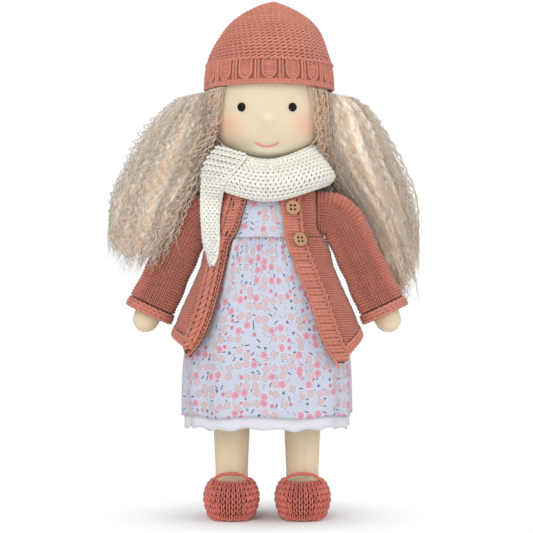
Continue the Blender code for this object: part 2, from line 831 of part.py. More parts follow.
def make_envelopes(turn):
    """Guides that are a gap larger than what the hair lies against."""
    more = WIG_CAP_THICKNESS + GAP
    head_solid("cap_envelope", more, NECK_TOP, turn)
    rings = []
    for share in HAT_GUIDE_SHARES:
        height = HAT_RIM + share * (HAT_TOP - HAT_RIM)
        radius = hat_radius(height) + 2 * GAP
        rings.append(level_ring(radius, radius, height, HEAD_POINTS, 2.0))
    finish("hat_envelope", solid(rings), None, turn)
    rings = []
    for drop in CARDIGAN_GUIDE_DROPS:
        height = NECK_TOP - drop
        width, depth = cardigan_size(height, CLOTH_GAP + BAND_PROUD)
        rings.append(level_ring(width, depth, height, BODY_POINTS))
    finish("cardigan_envelope", solid(rings), None)
    finish("scarf_envelope", ring_solid(scarf_rings(CLOTH_GAP)), None)
    for side, name in ((1, "left"), (-1, "right")):
        rings = sleeve_rings(side, CLOTH_GAP)
        end = bend_length() + SLEEVE_LENGTH + CLOTH_GAP
        rings.append(arm_ring(side, end, CUFF_RADIUS + CLOTH_GAP, SLEEVE_POINTS))
        finish(f"{name}_sleeve_envelope", solid(rings), None)


def make_hair(turn):
    blond = material("blond_hair", BLOND, 0.7)
    for name, side, rows in (("hair_left", 1, LEFT_HAIR_ROWS), ("hair_right", -1, RIGHT_HAIR_ROWS)):
        rings = []
        for rise, near, far, y, depth in rows:
            middle = side * (near + far) / 2
            rings.append(
                level_ring((far - near) / 2, depth, HEAD_MIDDLE + rise, HAIR_POINTS, HAIR_POWER, middle, y)
            )
        bunch = finish(name, solid(rings), blond, turn)
        limb = "left" if side > 0 else "right"
        for guide in ("cap", "hat", "scarf", "cardigan", f"{limb}_sleeve"):
            carve(bunch, bpy.data.objects[f"{guide}_envelope"])
    rings = [
        level_ring(width, depth, HEAD_MIDDLE + rise, HAIR_POINTS, HAIR_POWER, 0.0, HEAD_RADIUS + behind)
        for rise, width, behind, depth in BACK_HAIR_ROWS
    ]
    back = finish("hair_back", solid(rings), blond, turn)
    for guide in ("cap", "hat", "scarf", "cardigan"):
        carve(back, bpy.data.objects[f"{guide}_envelope"])


def make_hat(lift):
    knit = material("terracotta_knit", TERRACOTTA)
    rim = hat_radius(HAT_RIM)
    seat = rim - HAT_BRIM_THICKNESS
    top = HAT_RIM + HAT_BRIM_HEIGHT
    over = top + GAP
    levels = (HAT_RIM, HAT_RIM + HAT_RIM_BEVEL, HAT_RIM + HAT_BRIM_HEIGHT / 2, top)
    outer = [(rim - (HAT_RIM_BEVEL if height == HAT_RIM else 0.0), height) for height in levels]
    inner = [(seat, height) for height in levels]
    finish("hat_brim", pipe(turned(outer), turned(inner)), knit, lift)
    heights = [HAT_RIM + share * (HAT_TOP - HAT_RIM) for share, _ in HAT_ROWS]
    heights = [height for height in heights if height > over]
    outer = [(rim, over)] + [(hat_radius(height), height) for height in heights]
    inner = [(rim - HAT_THICKNESS, over)]
    inner += [(hat_radius(height) - HAT_THICKNESS, height) for height in heights[:-2]]
    last = hat_radius(heights[-2]) - HAT_THICKNESS
    inner += [(last, heights[-2] - 0.5 * HAT_THICKNESS), (0.3 * last, HAT_TOP - HAT_THICKNESS)]
    finish("hat_crown", sock(turned(outer), turned(inner)), knit, lift)


# Scarf


def scarf_rings(more=0.0):
    """Cross-sections of the wrapped scarf, all the way round the neck."""
    rings = []
    for i in range(SCARF_POINTS):
        turn = 2 * math.pi * i / SCARF_POINTS
        beside = math.cos(turn) ** 2
        other = SCARF_FRONT if math.sin(turn) < 0 else SCARF_BACK
        ring = []
        for k, (side_row, other_row) in enumerate(zip(SCARF_SIDE, other)):
            out = more if k < SCARF_OUTSIDE_POINTS else -more
            reach = beside * side_row[0] + (1 - beside) * other_row[0] + out
            rise = beside * side_row[1] + (1 - beside) * other_row[1]
            rise += more * {0: 1, 3: -1, 4: -1, 7: 1}.get(k, 0)
            ring.append(Vector((reach * math.cos(turn), reach * math.sin(turn), NECK_TOP + rise)))
        rings.append(ring)
    return rings


def scarf_front(x, height):
    """How far forward the wrapped scarf reaches at x, as a place along Y."""
    best = 0.0
    for i in range(SCARF_TRIES):
        turn = math.pi * (1 + 0.5 * i / (SCARF_TRIES - 1))
        beside = math.cos(turn) ** 2
        rows = []
        for side_row, front_row in zip(SCARF_SIDE[:SCARF_OUTSIDE_POINTS], SCARF_FRONT):
            reach = beside * side_row[0] + (1 - beside) * front_row[0]
            rise = beside * side_row[1] + (1 - beside) * front_row[1]
            rows.append((NECK_TOP + rise, reach))
        if height < min(rows)[0] - TAIL_THICKNESS:
            continue
        reach = value_at(rows, height)
        if abs(x) <= -reach * math.cos(turn) + 2 * GAP:
            best = min(best, reach * math.sin(turn))
    return best


def make_scarf():
    knit = material("white_knit", WHITE_KNIT)
    finish("scarf_wrap", ring_solid(scarf_rings()), knit)
    outer, inner = [], []
    for far_x, far_rise, near_x, near_rise in TAIL_ROWS:
        front_row, back_row = [], []
        for share in (0.0, 0.33, 0.67, 1.0):
            x = far_x + share * (near_x - far_x)
            height = NECK_TOP + far_rise + share * (near_rise - far_rise)
            places = [cardigan_front(x, height, BAND_PROUD), -SLEEVE_RADIUS]
            for nearby in (-TAIL_THICKNESS, 0.0, TAIL_THICKNESS):
                places.append(scarf_front(x, height + nearby))
            behind = min(places) - CLOTH_GAP
            back_row.append(Vector((x, behind, height)))
            front_row.append(Vector((x, behind - TAIL_THICKNESS, height)))
        outer.append(front_row)
        inner.append(back_row)
    finish("scarf_tail", slab(outer, inner), knit)


# Arms and sleeves


def sleeve_rings(side, more=0.0):
    start = sleeve_start() - elbow()[0]
    bend = bend_length()
    end = bend + SLEEVE_LENGTH - CUFF_LENGTH - GAP
    rings = []
    for distance in (start, 0.0, 0.25 * bend, 0.5 * bend, 0.75 * bend, bend):
        rings.append(arm_ring(side, distance, SLEEVE_RADIUS + more, SLEEVE_POINTS))
    for share, widened in SLEEVE_ROWS:
        radius = SLEEVE_RADIUS + widened * (SLEEVE_END_RADIUS - SLEEVE_RADIUS)
        rings.append(arm_ring(side, bend + share * (end - bend), radius + more, SLEEVE_POINTS))
    return rings


def arm_rings(side, inset):
    start = torso_size(SHOULDER_HEIGHT)[0] + GAP - elbow()[0]
    bend = bend_length()
    rim = bend + SLEEVE_LENGTH
    stations = [(distance, ARM_RADIUS) for distance in (start, 0.0, 0.5 * bend, bend)]
    stations.append((bend + 0.5 * SLEEVE_LENGTH, 0.5 * (ARM_RADIUS + WRIST_RADIUS)))
    stations.append((rim - CUFF_LENGTH, WRIST_RADIUS))
    for share, radius in HAND_ROWS:
        stations.append((rim + share * HAND_LENGTH, HAND_RADIUS * radius))
    last = len(stations) - 1
    rings = []
    for i, (distance, radius) in enumerate(stations):
        back = inset if i >= last - 1 else 0.0
        shrink = inset if i < last else 0.5 * inset
        rings.append(arm_ring(side, distance - back, radius - shrink))
    return rings


def make_arm(name, side):
    shoulder = pivot(f"{name}_shoulder", (side * sleeve_start(), 0.0, SHOULDER_HEIGHT))
    skin = material("cream_jersey", CREAM)
    finish(f"{name}_arm_skin", sock(arm_rings(side, 0.0), arm_rings(side, SKIN_THICKNESS)), skin, shoulder)
    stuffing = solid(arm_rings(side, SKIN_THICKNESS + GAP))
    finish(f"{name}_arm_stuffing", stuffing, material("wool_stuffing", WOOL), shoulder)
    knit = material("terracotta_knit", TERRACOTTA)
    walls = pipe(sleeve_rings(side), sleeve_rings(side, -SLEEVE_THICKNESS))
    finish(f"{name}_sleeve", walls, knit, shoulder)
    end = bend_length() + SLEEVE_LENGTH
    outer, inner = [], []
    for share, radius in ((1.0, CUFF_RADIUS), (0.5, CUFF_RADIUS), (0.0, CUFF_RIM_RADIUS)):
        distance = end - share * CUFF_LENGTH
        outer.append(arm_ring(side, distance, radius, SLEEVE_POINTS))
        inner.append(arm_ring(side, distance, radius - CUFF_THICKNESS, SLEEVE_POINTS))
    finish(f"{name}_cuff", pipe(outer, inner), knit, shoulder)


# Legs and shoes


def leg_rings(side, inset, toe_inset):
    """Level rings down the leg, then rings that turn forward into the foot."""
    x = side * LEG_SPREAD
    length = HIP_HEIGHT - ANKLE_HEIGHT
    seam_depth = max(LEG_SEAM_HALF_DEPTH - inset, LEG_SEAM_LEAST)
    top = HIP_HEIGHT - HIP_SEAM_RISE
    rings = [level_ring(LEG_HALF_WIDTH - inset, seam_depth, top, LEG_POINTS, BODY_POWER, x)]
    for share, width, depth in LEG_ROWS:
        half_width = width * LEG_HALF_WIDTH - inset
        half_depth = depth * LEG_HALF_WIDTH - inset
        height = HIP_HEIGHT - share * length
        rings.append(level_ring(half_width, half_depth, height, LEG_POINTS, BODY_POWER, x))
    radius = ANKLE_RADIUS - inset
    rings.append(level_ring(radius, radius, ANKLE_HEIGHT, LEG_POINTS, 2.0, x))
    wall = SHOE_WALL + GAP + inset
    for y, tilt, drop, width, depth in INSTEP_ROWS:
        _, low, high = shoe_section(y, wall)
        middle = Vector((x, y, high + (low - high) * drop))
        back = Vector((0, math.cos(math.radians(tilt)), -math.sin(math.radians(tilt))))
        ring = []
        for i in range(LEG_POINTS):
            across, along = rounded(2 * math.pi * i / LEG_POINTS, 2.0)
            aside = Vector(((ANKLE_RADIUS * width - inset) * across, 0, 0))
            ring.append(middle + aside + (ANKLE_RADIUS * depth - inset) * along * back)
        rings.append(ring)
    for y in TOE_DEPTHS:
        tip = toe_inset if y == TOE_DEPTHS[-1] else 0.0
        rings.append(flip_ring(shoe_ring(side, y + tip, wall)))
    return rings


def flip_ring(ring):
    """Runs a standing ring the way the leg's level rings run, heel side first."""
    return [ring[-i % len(ring)] for i in range(len(ring))]


def make_leg(name, side):
    hip = pivot(f"{name}_hip", (side * LEG_SPREAD, 0.0, HIP_HEIGHT))
    skin = material("cream_jersey", CREAM)
    outer = leg_rings(side, 0.0, 0.0)
    inner = leg_rings(side, SKIN_THICKNESS, SKIN_THICKNESS)
    finish(f"{name}_leg_skin", sock(outer, inner), skin, hip)
    inset = SKIN_THICKNESS + GAP
    stuffing = leg_rings(side, inset, inset)[1:]
    finish(f"{name}_leg_stuffing", solid(stuffing), material("wool_stuffing", WOOL), hip)
    rings = []
    for x in (-LEG_HALF_WIDTH, LEG_HALF_WIDTH):
        ring = []
        for i in range(8):
            angle = 2 * math.pi * i / 8
            y = HIP_CORD_RADIUS * math.cos(angle)
            height = HIP_HEIGHT + HIP_CORD_RADIUS * math.sin(angle)
            ring.append(Vector((side * LEG_SPREAD + x, y, height)))
        rings.append(ring)
    finish(f"{name}_hip_cord", solid(rings), material("cream_thread", CREAM_THREAD))
    make_shoe(name, side, hip)


def shoe_solid(name, side, inset, parent, finish_material=None):
    rings = []
    for y, _, _ in SHOE_ROWS:
        back = {SHOE_ROWS[0][0]: inset, SHOE_ROWS[-1][0]: -inset}.get(y, 0.0)
        rings.append(shoe_ring(side, y - back, inset))
    return finish(name, solid(rings), finish_material, parent)


def make_shoe(name, side, hip):
    crochet = material("terracotta_crochet", TERRACOTTA)
    upper = shoe_solid(f"{name}_shoe_upper", side, 0.0, hip, crochet)
    carve(upper, shoe_solid(f"{name}_shoe_hollow", side, SHOE_WALL, hip))
    x = side * LEG_SPREAD
    mouth = []
    for height in (SHOE_MOUTH_FLOOR, ANKLE_HEIGHT + SHOE_HEIGHT):
        mouth.append(
            level_ring(SHOE_MOUTH_HALF_WIDTH, SHOE_MOUTH_HALF_LENGTH, height, 20, 2.0, x, SHOE_MOUTH_MIDDLE)
        )
    carve(upper, finish(f"{name}_shoe_mouth", solid(mouth), None, hip))
    sole = []
    rows = [(y, SHOE_HALF_WIDTH * width - SOLE_INSET) for y, width, _ in SHOE_ROWS[1:-1]]
    outline = [Vector((x + width, y, 0.0)) for y, width in rows]
    outline += [Vector((x - width, y, 0.0)) for y, width in rows[::-1]]
    for height in (0.0, SOLE_THICKNESS):
        sole.append([Vector((point.x, point.y, height)) for point in outline])
    bm = solid(sole)
    bottom = [edge for edge in bm.edges if all(vert.co.z < GAP for vert in edge.verts)]
    bmesh.ops.bevel(bm, geom=bottom, offset=SOLE_BEVEL, segments=2, affect="EDGES", profile=0.5)
    finish(f"{name}_shoe_sole", bm, crochet, hip)
    end = shoe_surface(STRAP_HALF_SPAN, STRAP_DEPTH) + STRAP_RADIUS + GAP
    points = []
    for i in range(11):
        share = -1 + i / 5
        rise = end + (STRAP_RISE - end) * (1 - share**2) ** STRAP_ARCH_POWER
        points.append(Vector((x + STRAP_HALF_SPAN * share, STRAP_DEPTH, rise)))
    finish(f"{name}_shoe_strap", tube_along(points, STRAP_RADIUS, 8), crochet, hip)


# Dress


def side_hole(name, radius):
    """A round guide through both sides at the shoulders."""
    rings = []
    for x in (-2 * TORSO_HALF_WIDTH, 2 * TORSO_HALF_WIDTH):
        ring = []
        for i in range(20):
            angle = 2 * math.pi * i / 20
            ring.append(Vector((x, radius * math.cos(angle), SHOULDER_HEIGHT + radius * math.sin(angle))))
        rings.append(ring)
    return finish(name, solid(rings), None)


def make_bodice():
    cloth = material("flowered_cloth", DRESS)
    top = NECK_TOP - BODICE_DROP
    between = [height for height in torso_heights() if WAIST_HEIGHT + 2 * GAP < height < top - 2 * GAP]
    heights = [WAIST_HEIGHT + GAP] + between + [top]
    outer = [level_ring(*torso_size(height, BODICE_OUT), height, BODY_POINTS) for height in heights]
    inner = [level_ring(*torso_size(height, GAP), height, BODY_POINTS) for height in heights]
    bodice = finish("dress_bodice", pipe(outer, inner), cloth)
    carve(bodice, side_hole("bodice_armholes", ARM_RADIUS + CLOTH_GAP))


def make_skirts(hips):
    cloth = material("flowered_cloth", DRESS)
    heights = [WAIST_HEIGHT - share * SKIRT_LENGTH for share, _ in SKIRT_ROWS]
    outer = [skirt_ring(height) for height in heights]
    inner = [skirt_ring(height, -SKIRT_THICKNESS) for height in heights]
    finish("dress_skirt", pipe(outer, inner), cloth, hips)
    under = -SKIRT_THICKNESS - CLOTH_GAP
    heights = [WAIST_HEIGHT - UNDERSKIRT_TOP * SKIRT_LENGTH] + heights[2:] + [SKIRT_HEM - UNDERSKIRT_SHOWS]
    outer = [skirt_ring(height, under) for height in heights]
    inner = [skirt_ring(height, under - UNDERSKIRT_THICKNESS) for height in heights]
    finish("underskirt", pipe(outer, inner), material("white_cotton", WHITE_CLOTH), hips)


# Cardigan


def panel_rows(side, start, end, hem_start, hem_end, more):
    """Points of a cardigan panel between two edges, each a function that gives the angle at a height."""
    rows = []
    for i in range(PANEL_HEIGHTS):
        share = i / (PANEL_HEIGHTS - 1)
        row = []
        for k in range(PANEL_COLUMNS):
            across = k / (PANEL_COLUMNS - 1)
            hem = hem_start + (hem_end - hem_start) * across**HEM_CURVE_POWER
            height = hem + (NECK_TOP - NECKLINE_DROP - hem) * share
            last = hem_end + (NECK_TOP - NECKLINE_DROP - hem_end) * share
            angle = start(height) + (end(last) - start(height)) * across
            row.append(cardigan_point(angle, height, side, more))
        rows.append(row)
    return rows


def seam_angle(height):
    depth = cardigan_size(height)[1]
    return math.asin((SEAM_HALF_GAP / depth) ** (BODY_POWER / 2))


def edge_angle(edge, inset):
    """Gives the angle of a front edge, some way in from it, at any height."""

    def angle(height):
        return cardigan_angle(value_at(edge, NECK_TOP - height) + inset, height)

    return angle


def make_front(name, side, edge, knit):
    hem = NECK_TOP - SIDE_HEM_DROP
    corner = NECK_TOP - edge[-1][0]
    band_start = edge_angle(edge, BAND_WIDTH)
    outer = panel_rows(side, seam_angle, band_start, hem, corner + BAND_HEM_RISE, 0.0)
    inner = panel_rows(side, seam_angle, band_start, hem, corner + BAND_HEM_RISE, -CARDIGAN_THICKNESS)
    panel = finish(f"cardigan_{name}_front", slab(outer, inner), knit)
    carve(panel, bpy.data.objects["cardigan_armholes"])
    sides = []
    for more in (BAND_PROUD, -CARDIGAN_THICKNESS):
        rows = []
        for i in range(PANEL_HEIGHTS):
            share = i / (PANEL_HEIGHTS - 1)
            row = []
            for inset in (BAND_WIDTH - 2 * GAP, 0.5 * BAND_WIDTH, 0.0):
                low = corner + BAND_HEM_RISE * inset / BAND_WIDTH
                height = low + (NECK_TOP - NECKLINE_DROP - low) * share
                row.append(cardigan_point(edge_angle(edge, inset)(height), height, side, more))
            rows.append(row)
        sides.append(rows)
    return finish(f"{name}_front_band", slab(*sides), knit)


def button_place(place):
    x, drop = place
    height = NECK_TOP - drop
    step = 0.5 * BUTTON_RADIUS
    slope_x = (cardigan_front(x + step, height) - cardigan_front(x - step, height)) / (2 * step)
    slope_z = (cardigan_front(x, height + step) - cardigan_front(x, height - step)) / (2 * step)
    out = Vector((slope_x, -1.0, slope_z)).normalized()
    seat = Vector((x, cardigan_front(x, height, BAND_PROUD), height)) + BUTTON_STANDOFF * out
    return Matrix.Translation(seat) @ out.to_track_quat("Z", "Y").to_matrix().to_4x4()


def hole_places():
    return [(BUTTON_HOLE_SPREAD * x, BUTTON_HOLE_SPREAD * y) for x in (-1, 1) for y in (-1, 1)]


def pegs(name, place, radius, low, high):
    """Four round pegs at a button's holes."""
    bm = bmesh.new()
    for x, y in hole_places():
        at = place @ Matrix.Translation((x, y, (low + high) / 2))
        bmesh.ops.create_cone(
            bm, cap_ends=True, segments=8, radius1=radius, radius2=radius, depth=high - low, matrix=at
        )
    return finish(name, bm, None)


def make_button(name, place):
    place = button_place(place)
    profile = (
        (BUTTON_RADIUS - BUTTON_BEVEL, 0.0),
        (BUTTON_RADIUS, BUTTON_BEVEL),
        (BUTTON_RADIUS, BUTTON_THICKNESS - BUTTON_BEVEL),
        (BUTTON_RADIUS - 0.5 * BUTTON_RIM, BUTTON_THICKNESS),
        (BUTTON_RADIUS - BUTTON_RIM, BUTTON_THICKNESS - 0.25 * BUTTON_DISH),
        (BUTTON_RADIUS - 1.6 * BUTTON_RIM, BUTTON_THICKNESS - BUTTON_DISH),
    )
    rings = []
    for radius, rise in profile:
        ring = level_ring(radius, radius, rise, BUTTON_POINTS, 2.0)
        rings.append([place @ point for point in ring])
    button = finish(name, solid(rings), material("button_wood", WOOD, 0.5))
    carve(button, pegs(f"{name}_holes", place, BUTTON_HOLE_RADIUS, -GAP, BUTTON_THICKNESS + GAP))
    top = BUTTON_THICKNESS - BUTTON_DISH + GAP
    thick = 2 * BUTTON_THREAD_RADIUS
    bm = bmesh.new()
    span = 2 * (BUTTON_HOLE_SPREAD + 1.2 * BUTTON_THREAD_RADIUS)
    bar = Matrix.Translation((0, 0, top + thick / 2)) @ Matrix.Diagonal((span, span, thick, 1.0))
    bmesh.ops.create_cube(bm, size=1.0, matrix=place @ bar)
    thread = finish(f"{name}_thread", bm, material("dark_thread", DARK_THREAD))
    stems = pegs(f"{name}_stems", place, BUTTON_THREAD_RADIUS, -0.5 * BUTTON_STANDOFF, top + thick / 2)
    carve(thread, stems, "UNION")


def make_cardigan():
    knit = material("terracotta_knit", TERRACOTTA)
    side_hole("cardigan_armholes", ARMHOLE_RADIUS)
    hem = NECK_TOP - SIDE_HEM_DROP
    rows = []
    for more in (0.0, -CARDIGAN_THICKNESS):
        grid = []
        for i in range(PANEL_HEIGHTS):
            height = hem + (NECK_TOP - NECKLINE_DROP - hem) * i / (PANEL_HEIGHTS - 1)
            first = seam_angle(height)
            row = []
            for k in range(2 * PANEL_COLUMNS - 1):
                angle = -first - (math.pi - 2 * first) * k / (2 * PANEL_COLUMNS - 2)
                row.append(cardigan_point(angle, height, 1, more))
            grid.append(row)
        rows.append(grid)
    back = finish("cardigan_back", slab(*rows), knit)
    carve(back, bpy.data.objects["cardigan_armholes"])
    make_front("left", 1, LEFT_EDGE, knit)
    band = make_front("right", -1, RIGHT_EDGE, knit)
    bm = bmesh.new()
    for x, drop in BUTTONHOLE_PLACES:
        size = Matrix.Diagonal((BUTTONHOLE_WIDTH, 2 * TORSO_HALF_DEPTH, BUTTONHOLE_HEIGHT, 1.0))
        place = Matrix.Translation((-x, -TORSO_HALF_DEPTH, NECK_TOP - drop))
        bmesh.ops.create_cube(bm, size=1.0, matrix=place @ size)
    carve(band, finish("buttonholes", bm, None))
    make_button("upper_button", UPPER_BUTTON_PLACE)
    make_button("lower_button", LOWER_BUTTON_PLACE)


def main():
    clear_scene()
    turn = pivot("neck_axis", (0.0, 0.0, NECK_TOP))
    lift = pivot("hat_axis", (0.0, 0.0, HAT_RIM))
    hips = pivot("hip_axis", (0.0, 0.0, HIP_HEIGHT))
    make_torso()
    make_head(turn)
    make_face(turn)
    make_envelopes(turn)
    make_wig_cap(turn)
    make_hair(turn)
    make_hat(lift)
    make_scarf()
    for name, side in (("left", 1), ("right", -1)):
        make_arm(name, side)
        make_leg(name, side)
    make_bodice()
    make_skirts(hips)
    make_cardigan()


main()
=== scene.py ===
# %% [markdown]
# # A waldorf doll
# A waldorf doll is a soft doll of cotton jersey, stuffed firmly with wool, and dressed by hand. This one wears
# a knitted hat, scarf and cardigan, a flowered dress over a white underskirt, and crocheted shoes.
# The doll's frame, with its joints, is finished. This file gives each part its real surface: it loads the
# frame, makes a detailed piece for most plain solids and repaints the rest, and hangs most pieces on the part
# of the doll they move with.

# %% Open the frame
import math
import bpy
import numpy as np
from mathutils import Matrix, Vector


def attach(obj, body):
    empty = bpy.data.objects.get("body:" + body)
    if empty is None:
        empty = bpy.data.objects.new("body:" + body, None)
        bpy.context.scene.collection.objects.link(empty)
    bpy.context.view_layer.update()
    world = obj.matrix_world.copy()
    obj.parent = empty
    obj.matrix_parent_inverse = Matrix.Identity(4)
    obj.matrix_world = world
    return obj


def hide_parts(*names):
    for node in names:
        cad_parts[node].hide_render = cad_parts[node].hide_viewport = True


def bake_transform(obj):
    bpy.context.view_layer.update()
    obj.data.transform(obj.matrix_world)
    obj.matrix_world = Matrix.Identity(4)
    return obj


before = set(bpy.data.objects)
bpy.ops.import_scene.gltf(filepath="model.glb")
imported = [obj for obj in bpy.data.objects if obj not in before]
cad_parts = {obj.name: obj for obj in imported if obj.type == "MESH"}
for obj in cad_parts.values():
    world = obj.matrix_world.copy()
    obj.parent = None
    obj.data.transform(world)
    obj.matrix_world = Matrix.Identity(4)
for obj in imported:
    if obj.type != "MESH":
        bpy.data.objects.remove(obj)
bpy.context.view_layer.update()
bpy.ops.object.select_all(action="DESELECT")
rng = np.random.default_rng(7)

# %% [markdown]
# ## Camera, floor and light
# The camera stands at half the doll's height, 1.5 m in front, with a long lens, so the doll hardly shrinks
# with depth. The floor and the backdrop are one pale studio sheet. It is plain cloth near the feet, where it
# takes the shadow, and fades to pure white further out. A white world and four large soft lamps light the
# wool from all sides, because small hard lamps would turn each stitch into a black and white stripe.

# %% Camera
CAMERA_DISTANCE = 1.5
CAMERA_HEIGHT = 0.1939
SEEN_WIDTH = 0.4152
SENSOR = 36.0
bpy.ops.object.camera_add(location=(-0.0004, -CAMERA_DISTANCE, CAMERA_HEIGHT), rotation=(math.pi / 2, 0, 0))
camera = bpy.context.object
camera.data.sensor_width = SENSOR
camera.data.lens = SENSOR * CAMERA_DISTANCE / SEEN_WIDTH
bpy.context.scene.camera = camera
bpy.context.scene.view_settings.view_transform = "Standard"
print("lens", round(camera.data.lens, 1), "mm")


# %% Helpers for materials
def node(tree, kind, inputs, **settings):
    """A shader node with its settings, and its sockets filled by links or by values."""
    made = tree.nodes.new("ShaderNode" + kind)
    for name, value in settings.items():
        setattr(made, name, value)
    for key, value in inputs.items():
        if isinstance(value, bpy.types.NodeSocket):
            tree.links.new(value, made.inputs[key])
        else:
            made.inputs[key].default_value = value
    return made


def maths(tree, operation, a, b=0.0, c=0.0):
    return node(tree, "Math", {0: a, 1: b, 2: c}, operation=operation).outputs[0]


def times(tree, a, b):
    return maths(tree, "MULTIPLY", a, b)


def scaled(tree, value, scale, shift):
    return maths(tree, "MULTIPLY_ADD", value, scale, shift)


def sine(tree, value):
    return maths(tree, "SINE", value)


def size_of(tree, value):
    return maths(tree, "ABSOLUTE", value)


def between(tree, factor, low, high):
    """A colour between two others."""
    low, high = [(*end, 1.0) if isinstance(end, tuple) else end for end in (low, high)]
    return node(tree, "Mix", {0: factor, 6: low, 7: high}, data_type="RGBA").outputs[2]


def dimmed(tree, colour, light):
    return node(tree, "VectorMath", {0: colour, 3: light}, operation="SCALE").outputs[0]


def length(tree, vector):
    return node(tree, "VectorMath", {0: vector}, operation="LENGTH").outputs["Value"]


def parts_of(tree, vector):
    return node(tree, "SeparateXYZ", {0: vector}).outputs


def in_object(tree):
    """The place on the piece, in metres."""
    return node(tree, "TexCoord", {}).outputs["Object"]


def on_cloth(tree):
    """The place on the flat cloth or along the strand, from the UV map."""
    return node(tree, "UVMap", {}).outputs[0]


def tone_of(tree):
    """The strand's own tone."""
    return node(tree, "Attribute", {}, attribute_name="tone").outputs["Fac"]


def ramp(tree, value, start, end, low=0.0, high=1.0):
    """A value that runs smoothly from low to high while another runs from start to end."""
    return node(tree, "MapRange", {"Value": value, "From Min": start, "From Max": end, "To Min": low,
                                   "To Max": high}, interpolation_type="SMOOTHSTEP").outputs[0]


def noise(tree, vector, scale, detail=2.0, roughness=0.5):
    return node(tree, "TexNoise", {"Vector": vector, "Scale": scale, "Detail": detail,
                                   "Roughness": roughness}).outputs[0]


def soften(shader, weight, colours, depth):
    """Lets light go a little way into the surface."""
    shader.inputs["Subsurface Weight"].default_value = weight
    shader.inputs["Subsurface Radius"].default_value = colours
    shader.inputs["Subsurface Scale"].default_value = depth


def new_material(name):
    made = bpy.data.materials.new(name)
    made.use_nodes = True
    return made, made.node_tree, made.node_tree.nodes["Principled BSDF"]


def surface(tree, shader, colour, height, depth, rough, sheen=0.0, gloss=0.3, strength=0.8):
    """Puts the colour and a bump of that depth, in metres, on the shader."""
    tree.links.new(colour, shader.inputs["Base Color"])
    bump = node(tree, "Bump", {"Height": height, "Distance": depth, "Strength": strength})
    tree.links.new(bump.outputs[0], shader.inputs["Normal"])
    shader.inputs["Roughness"].default_value = rough
    shader.inputs["Specular IOR Level"].default_value = gloss
    shader.inputs["Sheen Weight"].default_value = sheen
    shader.inputs["Sheen Roughness"].default_value = 0.45


# %% Floor
FLOOR_NEAR = 0.020
FLOOR_FAR = 0.135
bpy.ops.mesh.primitive_plane_add(size=12.0, location=(0, 0, -0.0003))
floor = bpy.context.object
floor.name = "studio_floor"
paper, tree, shader = new_material("studio_paper")
place = in_object(tree)
mottle = noise(tree, place, 30.0, 3.0)
shown = between(tree, mottle, (0.96, 0.94, 0.95), (0.99, 0.97, 0.98))
surface(tree, shader, shown, mottle, 0.0001, 0.9)
away = length(tree, place)
seen = node(tree, "LightPath", {}).outputs["Is Camera Ray"]
white = node(tree, "Emission", {"Color": (1, 1, 1, 1), "Strength": 1.0}).outputs[0]
fade = times(tree, ramp(tree, away, FLOOR_NEAR, FLOOR_FAR), seen)
both = node(tree, "MixShader", {0: fade, 1: shader.outputs[0], 2: white})
tree.links.new(both.outputs[0], tree.nodes["Material Output"].inputs["Surface"])
floor.data.materials.append(paper)

# %% World and lamps
WORLD_LIGHT = 0.50
world = bpy.data.worlds.new("studio_white")
bpy.context.scene.world = world
world.use_nodes = True
tree = world.node_tree
rays = node(tree, "LightPath", {})
strength = maths(tree, "MAXIMUM", WORLD_LIGHT, rays.outputs["Is Camera Ray"])
backdrop = tree.nodes["Background"]
backdrop.inputs["Color"].default_value = (1, 1, 1, 1)
tree.links.new(strength, backdrop.inputs["Strength"])


def lamp(name, place, size, power):
    """A large square lamp that faces the doll's chest."""
    bpy.ops.object.light_add(type="AREA", location=place)
    made = bpy.context.object
    made.name = name
    made.data.size = size
    made.data.energy = power
    made.rotation_euler = (Vector((0, 0, 0.2)) - Vector(place)).to_track_quat("-Z", "Y").to_euler()


lamp("front_lamp", (-0.6, -1.5, 1.2), 1.1, 11.0)
lamp("right_lamp", (1.4, -0.7, 0.7), 1.2, 5.6)
lamp("top_lamp", (0.1, 0.3, 1.7), 1.0, 5.0)
lamp("low_lamp", (-0.2, -1.7, 0.12), 1.0, 7.0)

# %% [markdown]
# ## Wool, jersey and cotton
# Wool yarn is made of plies twisted together, and it is hairy. So its material has three scales: slow clouds
# of colour over the garment, the twist of the plies along each strand, and a fine fuzz that also lights up at
# a low angle, as sheen. The twist and the fuzz darken the colour where they lie low, as painted shade. Each
# strand carries its own tone, because no two stitches take the light alike, and the layer under the stitches
# has a lower tone, as painted shade.
# Jersey is a very fine knit, so its columns are only a bump. The dress's print is worked out from scattered
# points: each one turns into a flower, a dot, a dash or a sprig.


# %% Yarn
def yarn(name, colour, plies=2.0, fuzz=0.35, mottle=0.10, toned=True):
    """Knitting wool. The UV of each strand runs round it and along it. A toned one has its strands' own tones."""
    made, tree, shader = new_material(name)
    place = in_object(tree)
    clouds = noise(tree, place, 40.0, 3.0)
    fibres = noise(tree, place, 1500.0, 4.0, 0.7)
    spot = parts_of(tree, on_cloth(tree))
    turns = scaled(tree, spot[0], math.tau * plies, times(tree, spot[1], math.tau))
    twist = scaled(tree, sine(tree, turns), 0.5, 0.5)
    light = scaled(tree, clouds, 2 * mottle, 1.0 - mottle)
    # The colour is darker where the fibres and the twist lie low in the bump: painted shade between them.
    light = times(tree, light, scaled(tree, fibres, 0.30, 0.85))
    light = times(tree, light, scaled(tree, twist, 0.16, 0.92))
    # The tone holds each strand's own tone and, on the layers under the stitches, a painted shade.
    if toned:
        light = times(tree, light, tone_of(tree))
    shown = dimmed(tree, colour, light)
    height = scaled(tree, twist, 0.6, times(tree, fibres, 0.8))
    surface(tree, shader, shown, height, 0.00022, 0.92, sheen=fuzz, gloss=0.15)
    return made


